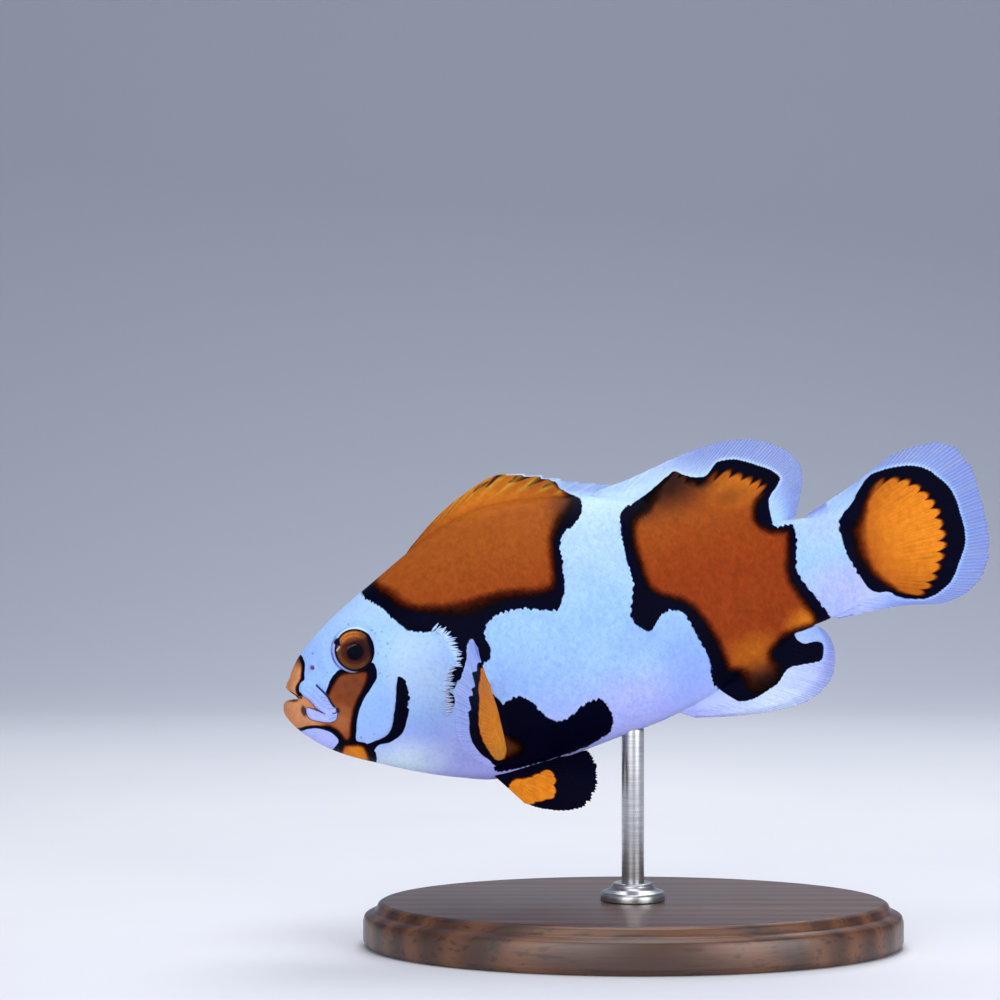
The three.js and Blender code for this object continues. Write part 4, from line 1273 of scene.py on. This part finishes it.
def revolved(profile, centre, axis, turns=72, drift=(0.0, 0.0)):
    """Points and quads of a profile of (radius, height) turned about an axis, with each point's
    radius and its rise over the axis. drift shifts the middle sideways and up, the rim not."""
    axis = Vector(axis).normalized()
    across = axis.cross(Vector((0, 0, 1))).normalized()
    up = across.cross(axis).normalized()
    angles = np.linspace(0, 2 * math.pi, turns, endpoint=False)
    profile = np.array(profile)
    r, h = profile[:, 0, None], profile[:, 1, None]
    shift = np.clip(1 - r / CORNEA_RADIUS, 0, 1)
    sideways = r * np.cos(angles) + drift[0] * shift
    rise = r * np.sin(angles) + drift[1] * shift
    points = np.array(centre) + sideways[..., None] * np.array(across)
    points = points + rise[..., None] * np.array(up) + (h + 0 * angles)[..., None] * np.array(axis)
    radius = np.broadcast_to(r, (len(profile), turns)).ravel()
    return points.reshape(-1, 3), grid_faces(len(profile), turns, wrap=True), radius, rise.ravel()


def make_eyes(iris_material, cornea_material):
    """Each eye as one turned surface of pupil, iris and rim, under a clear dome."""
    for name, side in (("left", 1), ("right", -1)):
        ring = body_point(np.array(EYE[0]), side * np.linspace(0, math.pi / 2, 200))
        level = ring[np.argmin(np.abs(ring[:, 2] - EYE[1]))]
        axis = (-0.10, -0.99 * side, 0.08)
        centre = (EYE[0], level[1], EYE[1])
        drift = (-0.1 * side, -0.3)
        profile = curve(IRIS_PROFILE, False, 8)
        points, faces, radius, rise = revolved(profile, centre, axis, 160, drift)
        flat = seen(points)
        rear = points[:, 0] - EYE[0]
        # Painted highlights on the iris: a glint and a thin arc over the pupil.
        streaks = [
            strong * smoothstep(1.6, 0.6, line_distance(flat, places) / half)
            for places, half, strong in EYE_HIGHLIGHTS]
        values = {
            "radius": radius - 0.1 * smoothstep(-2.0, -0.6, rear),
            "rise": rise,
            "rear": rear,
            "blot": smoothstep(0.1, -0.05, loop_distance(flat, EYE_BLOT)),
            "streak": np.max(streaks, axis=0),
        }
        eye = mesh_object(f"eye_{name}", points, faces, values, iris_material)
        r = np.linspace(0, CORNEA_RADIUS, 14)
        height = 0.1 + CORNEA_RISE * np.sqrt(1 - (r / (CORNEA_RADIUS + 0.02)) ** 2)
        points, faces, _, _ = revolved(np.column_stack((r, height)), centre, axis)
        cornea = mesh_object(f"cornea_{name}", points, faces, None, cornea_material)
        for piece in (eye, cornea):
            face_outward(piece.data)
            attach(piece, "root")
        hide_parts(f"eye_{name}")


# ---- Stand -------------------------------------------------------------------------------------

# The turned pieces: radius and height. The base is an oval, BASE_RATIO as deep as it is long.
BASE_PROFILE = [
    (0.0, 0.0), (29.2, 0.0), (29.7, 0.2), (30.0, 0.7), (30.0, 2.9), (29.8, 3.5), (29.2, 3.8),
    (28.7, 3.95), (28.5, 4.3), (28.3, 4.75), (27.8, 5.0), (0.0, 5.0),
]
BASE_RATIO = 0.7
COLLAR_PROFILE = [
    (0.0, 5.0), (3.6, 5.0), (3.6, 5.7), (3.45, 6.0), (2.6, 6.3), (2.35, 6.6), (2.3, 6.85),
    (2.1, 7.0), (0.0, 7.0),
]
ROD_RADIUS = 1.25


def turned(name, profile, ratio, segments, material, node):
    """A piece turned about the stand's upright axis, with crisp rims."""
    angles = np.linspace(0, 2 * math.pi, segments, endpoint=False)
    rows = [p for p in profile if p[0] > 0]
    r, z = np.array(rows).T[:, :, None]
    grid = np.stack((r * np.cos(angles), ratio * r * np.sin(angles), z + 0 * angles), axis=-1)
    points = grid.reshape(-1, 3) * MM
    faces = grid_faces(len(rows), segments, wrap=True).tolist()
    faces.append(list(range(segments))[::-1])
    faces.append(list(range(len(points) - segments, len(points))))
    piece = mesh_object(name, points, faces, None, material, placing=False)
    face_outward(piece.data)
    edge = piece.modifiers.new("rims", "BEVEL")
    edge.width = 0.12 * MM
    edge.segments = 3
    edge.limit_method = "ANGLE"
    edge.angle_limit = math.radians(20)
    mesh = evaluated(piece)
    mesh.name = name
    piece = in_scene(name, mesh)
    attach(piece, "root")
    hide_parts(node)
    return piece


def make_stand(wood, steel):
    """The oval base, the collar on it, and the rod up to the fish's belly."""
    turned("stand_base", BASE_PROFILE, BASE_RATIO, 160, wood, "stand_base")
    turned("stand_collar", COLLAR_PROFILE, 1.0, 96, steel, "stand_collar")
    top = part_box("stand_rod")[1].z / MM + 0.5
    rod = [(ROD_RADIUS, 6.5), (ROD_RADIUS, top - 1.0), (ROD_RADIUS, top - 0.4), (0.95, top)]
    turned("stand_rod", rod, 1.0, 64, steel, "stand_rod")


# ---- Materials ---------------------------------------------------------------------------------

def colour(code):
    """A shader colour from an sRGB code."""
    parts = [((code >> shift) & 255) / 255 for shift in (16, 8, 0)]
    linear = [c / 12.92 if c <= 0.04045 else ((c + 0.055) / 1.055) ** 2.4 for c in parts]
    return (*linear, 1.0)


def add_node(tree, kind, inputs=None, **settings):
    """A node whose inputs are set to numbers or linked to other nodes' outputs."""
    node = tree.nodes.new("ShaderNode" + kind)
    for key, value in settings.items():
        setattr(node, key, value)
    for key, value in (inputs or {}).items():
        if isinstance(value, bpy.types.NodeSocket):
            tree.links.new(value, node.inputs[key])
        else:
            node.inputs[key].default_value = value
    return node


def attribute(tree, name):
    """A number stored on the mesh."""
    return add_node(tree, "Attribute", attribute_name=name).outputs["Fac"]


def math_node(tree, operation, *values, clamp=False):
    """One sum on the values."""
    inputs = dict(enumerate(values))
    return add_node(tree, "Math", inputs, operation=operation, use_clamp=clamp).outputs[0]


def blend_colours(tree, factor, first, second, kind="MIX"):
    """The second colour over the first, as far as factor says."""
    inputs = {0: factor, 6: first, 7: second}
    return add_node(tree, "Mix", inputs, data_type="RGBA", blend_type=kind).outputs[2]


def soft_step(tree, value, low, high):
    """smoothstep() as a node."""
    inputs = {"Value": value, "From Min": low, "From Max": high, "To Min": 0.0, "To Max": 1.0}
    return add_node(tree, "MapRange", inputs, interpolation_type="SMOOTHSTEP").outputs[0]


def ramp(tree, factor, stops):
    """The colour at factor on a ramp of (position, sRGB code)."""
    node = add_node(tree, "ValToRGB", {"Fac": factor})
    elements = node.color_ramp.elements
    while len(elements) < len(stops):
        elements.new(0.5)
    for element, (position, code) in zip(elements, stops):
        element.position = position
        element.color = colour(code)
    return node.outputs["Color"]


def tinted(tree, base, tints):
    """The base colour under others, each laid on as far as the attribute of its name says."""
    for name, code in tints:
        base = blend_colours(tree, attribute(tree, name), base, colour(code))
    return base


def shaded(tree, base, strength, factor, stops):
    """The base colour multiplied by a ramp, as far as strength says."""
    return blend_colours(tree, strength, base, ramp(tree, factor, stops), "MULTIPLY")


def stretched(tree, vector, scale):
    """The vector with each of its parts scaled by its own number."""
    return add_node(tree, "Mapping", {"Vector": vector, "Scale": scale}).outputs[0]


def noise(tree, scale, detail=3.0, vector=None, roughness=0.5):
    """Noise between 0 and 1, on the object's own coordinates unless a vector is given."""
    inputs = {"Scale": scale, "Detail": detail, "Roughness": roughness}
    inputs["Vector"] = vector or add_node(tree, "TexCoord").outputs["Object"]
    return add_node(tree, "TexNoise", inputs).outputs["Fac"]


def bump(tree, height, distance, strength=1.0):
    """Relief from a height, where distance in metres is the relief of a height of 1."""
    inputs = {"Height": height, "Distance": distance, "Strength": strength}
    return add_node(tree, "Bump", inputs).outputs["Normal"]


def finish(tree, shader, tint, roughness, surface):
    """Links a material's colour, its roughness as (factor, least, most), and its relief as
    (height, depth in metres, strength)."""
    factor, least, most = roughness
    gloss = add_node(tree, "MapRange", {"Value": factor, "To Min": least, "To Max": most})
    tree.links.new(tint, shader.inputs["Base Color"])
    tree.links.new(gloss.outputs[0], shader.inputs["Roughness"])
    tree.links.new(bump(tree, *surface), shader.inputs["Normal"])


def new_material(name, **sockets):
    """A material with its tree and its shader, and the shader's inputs given by name."""
    material = bpy.data.materials.new(name)
    material.use_nodes = True
    shader = material.node_tree.nodes["Principled BSDF"]
    for key, value in sockets.items():
        shader.inputs[key.replace("_", " ").title().replace("Ior", "IOR")].default_value = value
    return material, material.node_tree, shader


def marking_colour(tree, wobble_size):
    """The colour of skin, scales and fins from the distances stored on the mesh."""
    wobble = math_node(tree, "SUBTRACT", noise(tree, 1400.0, 4.0), 0.5)
    black = math_node(tree, "MULTIPLY_ADD", wobble, wobble_size, attribute(tree, "black_edge"))
    wider = 3 * wobble_size
    orange = math_node(tree, "MULTIPLY_ADD", wobble, wider, attribute(tree, "orange_edge"))
    height = attribute(tree, "height")
    # Painted light from above: the orange is made lighter higher up on the body.
    high = soft_step(tree, height, 1.0, 14.0)
    warm = blend_colours(tree, high, colour(0x943C15), colour(0xA8581F))
    warm = tinted(tree, warm, [
        ("yellow", 0xEE8E24), ("gold", 0xC89A38), ("tan", 0xCC8C60), ("dusk", 0x321C16),
    ])
    mottle = noise(tree, 1300.0, 5.0, roughness=0.65)
    warm = shaded(tree, warm, 0.8, mottle, [(0.3, 0xDCD4CE), (0.65, 0xFFFFFF)])
    depth = math_node(tree, "DIVIDE", orange, -4.0, clamp=True)
    rim = [(0.0, 0x100B0E), (0.05, 0x32201E), (0.12, 0x806058), (0.26, 0xFFFFFF)]
    warm = shaded(tree, warm, 1.0, depth, rim)
    dark = blend_colours(tree, noise(tree, 300.0, 2.0), colour(0x00000E), colour(0x02021E))
    patch = blend_colours(tree, soft_step(tree, orange, 0.05, -0.05), dark, warm)
    # Painted light: the white takes the blue of the light that fell on it, lavender in the shade
    # low down and paler higher up, as lit from above.
    rise = math_node(tree, "MULTIPLY_ADD", height, 1 / 28.0, 0.5, clamp=True)
    white = ramp(tree, rise, [
        (0.0, 0xB0B4FA), (0.3, 0xA2C5FE), (0.5, 0x9EC5FE), (0.7, 0xAACCFE), (0.9, 0xBEDAFE),
    ])
    # lilac and deep tint the white with painted shade, pale with painted light.
    white = tinted(tree, white, [("lilac", 0xBABEFC), ("pale", 0xDAEFFF), ("deep", 0x84A2FC)])
    cloud = noise(tree, 160.0, 4.0)
    white = shaded(tree, white, 0.7, cloud, [(0.35, 0xEAF0FA), (0.65, 0xFFFFFF)])
    speck = noise(tree, 2400.0, 4.0, roughness=0.7)
    white = shaded(tree, white, 0.5, speck, [(0.32, 0xD4DEF0), (0.52, 0xFFFFFF)])
    return blend_colours(tree, soft_step(tree, black, -0.05, 0.05), patch, white)


def skin_material(name, scaly):
    """Skin and scales, the scales with painted shade towards their roots. The bare skin also shows
    the freckles and nostril of the head, and painted shade in its creases and blots.
    """
    material, tree, shader = new_material(name, coat_weight=0.0, specular_ior_level=0.03)
    tint = marking_colour(tree, 0.14)
    if scaly:
        tint = shaded(tree, tint, 1.0, attribute(tree, "tone"), [(0.0, 0xEEF0F8), (1.0, 0xFFFFFF)])
        # Painted shade towards each scale's root, where the scale in front lies over it.
        rim = [(0.0, 0xD4DAEC), (0.6, 0xFFFFFF), (1.0, 0xFFFFFF)]
        tint = shaded(tree, tint, 0.9, attribute(tree, "scale_edge"), rim)
    else:
        # dark is painted shade in the creases and blots about the mouth.
        details = [("freckle", 0x7090C0), ("dark", 0x1C1236), ("nostril", 0x744480)]
        tint = tinted(tree, tint, details)
    pores = noise(tree, 3800.0, 4.0, roughness=0.65)
    height = math_node(tree, "MULTIPLY_ADD", noise(tree, 650.0), 1.6, pores)
    depth = 0.00007 if scaly else 0.00014
    finish(tree, shader, tint, (noise(tree, 700.0), 0.4, 0.55), (height, depth, 0.6))
    return material


def fin_material():
    """Fins: like the skin at the root, then streaked along their rays, and clear at the margin."""
    material, tree, shader = new_material("fin_web", coat_weight=0.0, specular_ior_level=0.03)
    tint = marking_colour(tree, 0.16)
    place = add_node(tree, "CombineXYZ", {
        "X": attribute(tree, "across"), "Y": attribute(tree, "along"), "Z": 0.0,
    }).outputs[0]
    streak = noise(tree, 1.0, 4.0, stretched(tree, place, (8.0, 1.6, 1.0)), 0.6)
    bare = attribute(tree, "bare")
    streaks = [(0.32, 0xD0CCD0), (0.6, 0xFFFFFF)]
    tint = shaded(tree, tint, math_node(tree, "MULTIPLY", bare, 0.75), streak, streaks)
    web = [(0.0, 0xDCDCEA), (0.6, 0xFFFFFF)]
    tint = shaded(tree, tint, math_node(tree, "MULTIPLY", bare, 0.35), attribute(tree, "ray"), web)
    clear = attribute(tree, "clear")
    sheer = math_node(tree, "MULTIPLY_ADD", attribute(tree, "pale"), -0.8, 1.0)
    sheer = math_node(tree, "MULTIPLY", clear, math_node(tree, "MULTIPLY", sheer, 0.85))
    tint = blend_colours(tree, sheer, tint, colour(0x7480CC))
    joints = {"Vector": stretched(tree, place, (0.0, 70.0, 1.0)), "Scale": 1.0}
    segments = add_node(tree, "TexWave", joints, bands_direction="Y")
    height = math_node(tree, "MULTIPLY_ADD", segments.outputs["Fac"], 0.15, streak)
    finish(tree, shader, tint, (streak, 0.4, 0.6), (height, 0.00004, 0.5))
    thin = math_node(tree, "MULTIPLY", soft_step(tree, streak, 0.3, 0.65), 0.75)
    see_through = math_node(tree, "MULTIPLY", clear, thin)
    solid = math_node(tree, "SUBTRACT", 1.0, see_through, clamp=True)
    tree.links.new(solid, shader.inputs["Alpha"])
    return material


def iris_material():
    """Rings about the pupil, with painted light above it and painted shade towards the rear and on
    the socket's lower rim, the pale rim of the socket outside them, and painted highlights.
    """
    material, tree, shader = new_material("iris", coat_weight=0.0, specular_ior_level=0.02)
    radius = math_node(tree, "DIVIDE", attribute(tree, "radius"), 2.8)
    # Two copies of the rings: the lower one, and the upper one brighter and more orange as painted
    # light.
    shaded_rings = ramp(tree, radius, [
        (0.0, 0x00010E), (0.27, 0x00010E), (0.3, 0x301014), (0.38, 0x481E18), (0.48, 0x562A18),
        (0.56, 0x6C4220), (0.68, 0x66442A), (0.71, 0x40241E), (0.735, 0x100A1C), (0.78, 0x140E28),
        (0.81, 0xA8B2F2),
    ])
    lit_rings = ramp(tree, radius, [
        (0.0, 0x00010E), (0.27, 0x00010E), (0.3, 0x3C1A16), (0.36, 0x6A3826), (0.5, 0x8C4E2C),
        (0.54, 0xC4702E), (0.59, 0xCC7830), (0.62, 0xA05828), (0.66, 0xDC8434), (0.7, 0xB8642C),
        (0.735, 0x140A14), (0.78, 0x0A081E), (0.81, 0xB4D8FC),
    ])
    rise = math_node(tree, "MULTIPLY_ADD", noise(tree, 900.0), 0.3, attribute(tree, "rise"))
    tint = blend_colours(tree, soft_step(tree, rise, 0.95, 1.5), shaded_rings, lit_rings)
    inside = soft_step(tree, radius, 0.8, 0.77)
    rear = attribute(tree, "rear")
    # Painted shade: the iris darker towards the rear, and a darker crescent at its rear edge.
    shade = math_node(tree, "MULTIPLY", soft_step(tree, rear, 0.0, 2.0), inside)
    tint = blend_colours(tree, math_node(tree, "MULTIPLY", shade, 0.85), tint, colour(0x180E1C))
    corner = math_node(tree, "MULTIPLY", soft_step(tree, rear, 1.45, 1.8), inside)
    tint = blend_colours(tree, corner, tint, colour(0x06061A))
    rings = noise(tree, 2600.0, 5.0, roughness=0.7)
    mottle = [(0.3, 0xA0A0A0), (0.7, 0xFFFFFF)]
    tint = shaded(tree, tint, math_node(tree, "MULTIPLY", inside, 0.75), rings, mottle)
    # Painted shade on the socket's pale rim, below and towards the rear.
    below = soft_step(tree, attribute(tree, "rise"), -1.2, -1.8)
    low = math_node(tree, "MULTIPLY", below, soft_step(tree, rear, -0.9, -0.1))
    outside = math_node(tree, "SUBTRACT", 1.0, inside)
    tint = blend_colours(tree, math_node(tree, "MULTIPLY", low, outside), tint, colour(0x241420))
    # streak carries the painted highlights: a glint and a thin arc over the pupil.
    tint = tinted(tree, tint, [("blot", 0x080A34), ("streak", 0xD0B4B8)])
    surface = (noise(tree, 3000.0, 4.0), 0.00003, 0.5)
    finish(tree, shader, tint, (noise(tree, 1500.0), 0.3, 0.5), surface)
    return material


def cornea_material():
    """A clear dome that only mirrors, a little unevenly, as a wet eye does."""
    material, tree, shader = new_material("cornea")
    tree.nodes.remove(shader)
    wet = bump(tree, noise(tree, 400.0), 0.00002, 0.3)
    clear = add_node(tree, "BsdfTransparent", {"Color": colour(0xFFFFFF)})
    mirror = add_node(tree, "BsdfAnisotropic", {
        "Color": colour(0xF4F8FF), "Roughness": 0.04, "Normal": wet,
    })
    edge = add_node(tree, "Fresnel", {"IOR": 1.06})
    parts = {0: edge.outputs[0], 1: clear.outputs[0], 2: mirror.outputs[0]}
    film = add_node(tree, "MixShader", parts)
    tree.links.new(film.outputs[0], tree.nodes["Material Output"].inputs["Surface"])
    return material


def wood_material():
    """Dark turned hardwood with its grain along the base, under a thin varnish."""
    material, tree, shader = new_material("turned_wood", coat_weight=0.35, coat_roughness=0.25)
    place = add_node(tree, "TexCoord").outputs["Object"]
    along = stretched(tree, place, (12.0, 160.0, 160.0))
    grain = noise(tree, 1.6, 6.0, along, 0.6)
    rings = add_node(tree, "TexWave", {
        "Vector": along, "Scale": 0.55, "Distortion": 7.0, "Detail": 3.0, "Detail Scale": 0.8,
    }, bands_direction="Y")
    fibres = math_node(tree, "MULTIPLY", grain, 0.6)
    figure = math_node(tree, "MULTIPLY_ADD", rings.outputs["Fac"], 0.45, fibres)
    tint = ramp(tree, figure, [(0.15, 0x2B170D), (0.5, 0x4C2B18), (0.85, 0x6B4227)])
    pore = noise(tree, 2.0, 3.0, stretched(tree, place, (60.0, 900.0, 900.0)))
    tint = shaded(tree, tint, 0.6, pore, [(0.35, 0x5A5A5A), (0.45, 0xFFFFFF)])
    finish(tree, shader, tint, (grain, 0.32, 0.5), (pore, 0.00008, 0.4))
    return material


def steel_material():
    """Steel brushed round the rod."""
    material, tree, shader = new_material("brushed_steel", metallic=1.0)
    place = add_node(tree, "TexCoord").outputs["Object"]
    lines = noise(tree, 1.0, 4.0, stretched(tree, place, (300.0, 300.0, 6000.0)), 0.7)
    tint = ramp(tree, lines, [(0.3, 0x9C9EA2), (0.7, 0xC8C9CC)])
    finish(tree, shader, tint, (lines, 0.22, 0.42), (lines, 0.00002, 0.4))
    return material


def floor_material():
    """A pale floor and backdrop, a little darker at the back."""
    material, tree, shader = new_material("pale_floor", specular_ior_level=0.1)
    tint = ramp(tree, noise(tree, 9.0, 4.0), [(0.3, 0xDCDEE6), (0.7, 0xE4E6EC)])
    place = add_node(tree, "SeparateXYZ", {0: add_node(tree, "TexCoord").outputs["Object"]})
    far = soft_step(tree, place.outputs["Y"], 0.12, 0.5)
    tint = blend_colours(tree, far, tint, colour(0xC6CCDC))
    finish(tree, shader, tint, (noise(tree, 40.0), 0.6, 0.75), (noise(tree, 900.0), 0.00003, 0.3))
    return material


# ---- Stage, light and camera -------------------------------------------------------------------

def make_stage(material):
    """A floor that turns up into a backdrop."""
    profile = [(-3.0, 0.0), (-0.6, 0.0), (0.35, 0.0)]
    bends = np.linspace(0, math.pi / 2, 14)[1:]
    profile += [(0.35 + 0.35 * math.sin(t), 0.35 - 0.35 * math.cos(t)) for t in bends]
    profile += [(0.7, 2.2)]
    points = [(x, y, z) for y, z in profile for x in (-3.0, 3.0)]
    faces = [(2 * i, 2 * i + 1, 2 * i + 3, 2 * i + 2) for i in range(len(profile) - 1)]
    mesh_object("floor", np.array(points), faces, None, material, placing=False)


def add_light(name, place, aim, size, power, tint):
    """A round soft light at a place, turned to its aim."""
    data = bpy.data.lights.new(name, "AREA")
    data.shape = "DISK"
    data.size = size
    data.energy = power
    data.color = tint
    lamp = in_scene(name, data)
    lamp.location = place
    lamp.rotation_euler = (Vector(aim) - Vector(place)).to_track_quat("-Z", "Y").to_euler()


def make_light():
    """A broad soft key from the upper left, a low light from the front, as from pale sand, a fill
    from the right, one from above and one behind that lights the floor."""
    middle = (-0.005, 0.0, 0.035)
    add_light("key", (-0.14, -0.43, 0.20), middle, 0.36, 0.53, (1.0, 0.99, 0.98))
    add_light("low", (-0.19, -0.40, 0.03), middle, 0.30, 0.66, (1.0, 0.98, 1.0))
    add_light("fill", (0.30, -0.34, 0.06), middle, 0.30, 1.25, (0.98, 0.98, 1.0))
    add_light("top", (0.0, -0.08, 0.42), middle, 0.32, 0.8, (0.97, 0.98, 1.0))
    add_light("back", (0.05, 0.24, 0.42), (0.0, -0.05, 0.0), 0.30, 1.2, (1.0, 1.0, 1.0))
    world = bpy.data.worlds.new("studio")
    world.use_nodes = True
    background = world.node_tree.nodes["Background"]
    background.inputs["Color"].default_value = colour(0xE4EAF4)
    background.inputs["Strength"].default_value = 0.3
    bpy.context.scene.world = world
    bpy.context.scene.view_settings.view_transform = "Standard"


def make_camera():
    """The photograph's camera, straight on to the fish's left side."""
    data = bpy.data.cameras.new("camera")
    data.lens = CAMERA_LENS
    data.sensor_width = CAMERA_SENSOR
    data.clip_start = 0.01
    camera = in_scene("camera", data)
    upright = Matrix.Rotation(math.pi / 2, 4, "X")
    camera.matrix_world = Matrix.Translation(Vector(CAMERA) * MM) @ upright
    bpy.context.scene.camera = camera


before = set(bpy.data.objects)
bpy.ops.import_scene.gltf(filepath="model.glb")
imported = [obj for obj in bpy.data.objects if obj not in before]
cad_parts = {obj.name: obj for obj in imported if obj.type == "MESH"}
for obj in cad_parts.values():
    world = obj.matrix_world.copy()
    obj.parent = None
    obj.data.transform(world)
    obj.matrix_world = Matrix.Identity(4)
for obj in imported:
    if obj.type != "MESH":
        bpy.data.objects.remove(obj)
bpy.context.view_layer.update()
make_camera()
skin_tree = make_skin(skin_material("skin", scaly=False))
scale_finish = skin_material("scales", scaly=True)
for side_name, side_sign in (("left", 1), ("right", -1)):
    make_scales(f"scales_{side_name}", side_sign, skin_tree, scale_finish)
    make_fringe(f"gill_fringe_{side_name}", side_sign, skin_tree, scale_finish)
make_fins(fin_material())
make_eyes(iris_material(), cornea_material())
make_stand(wood_material(), steel_material())
make_stage(floor_material())
make_light()
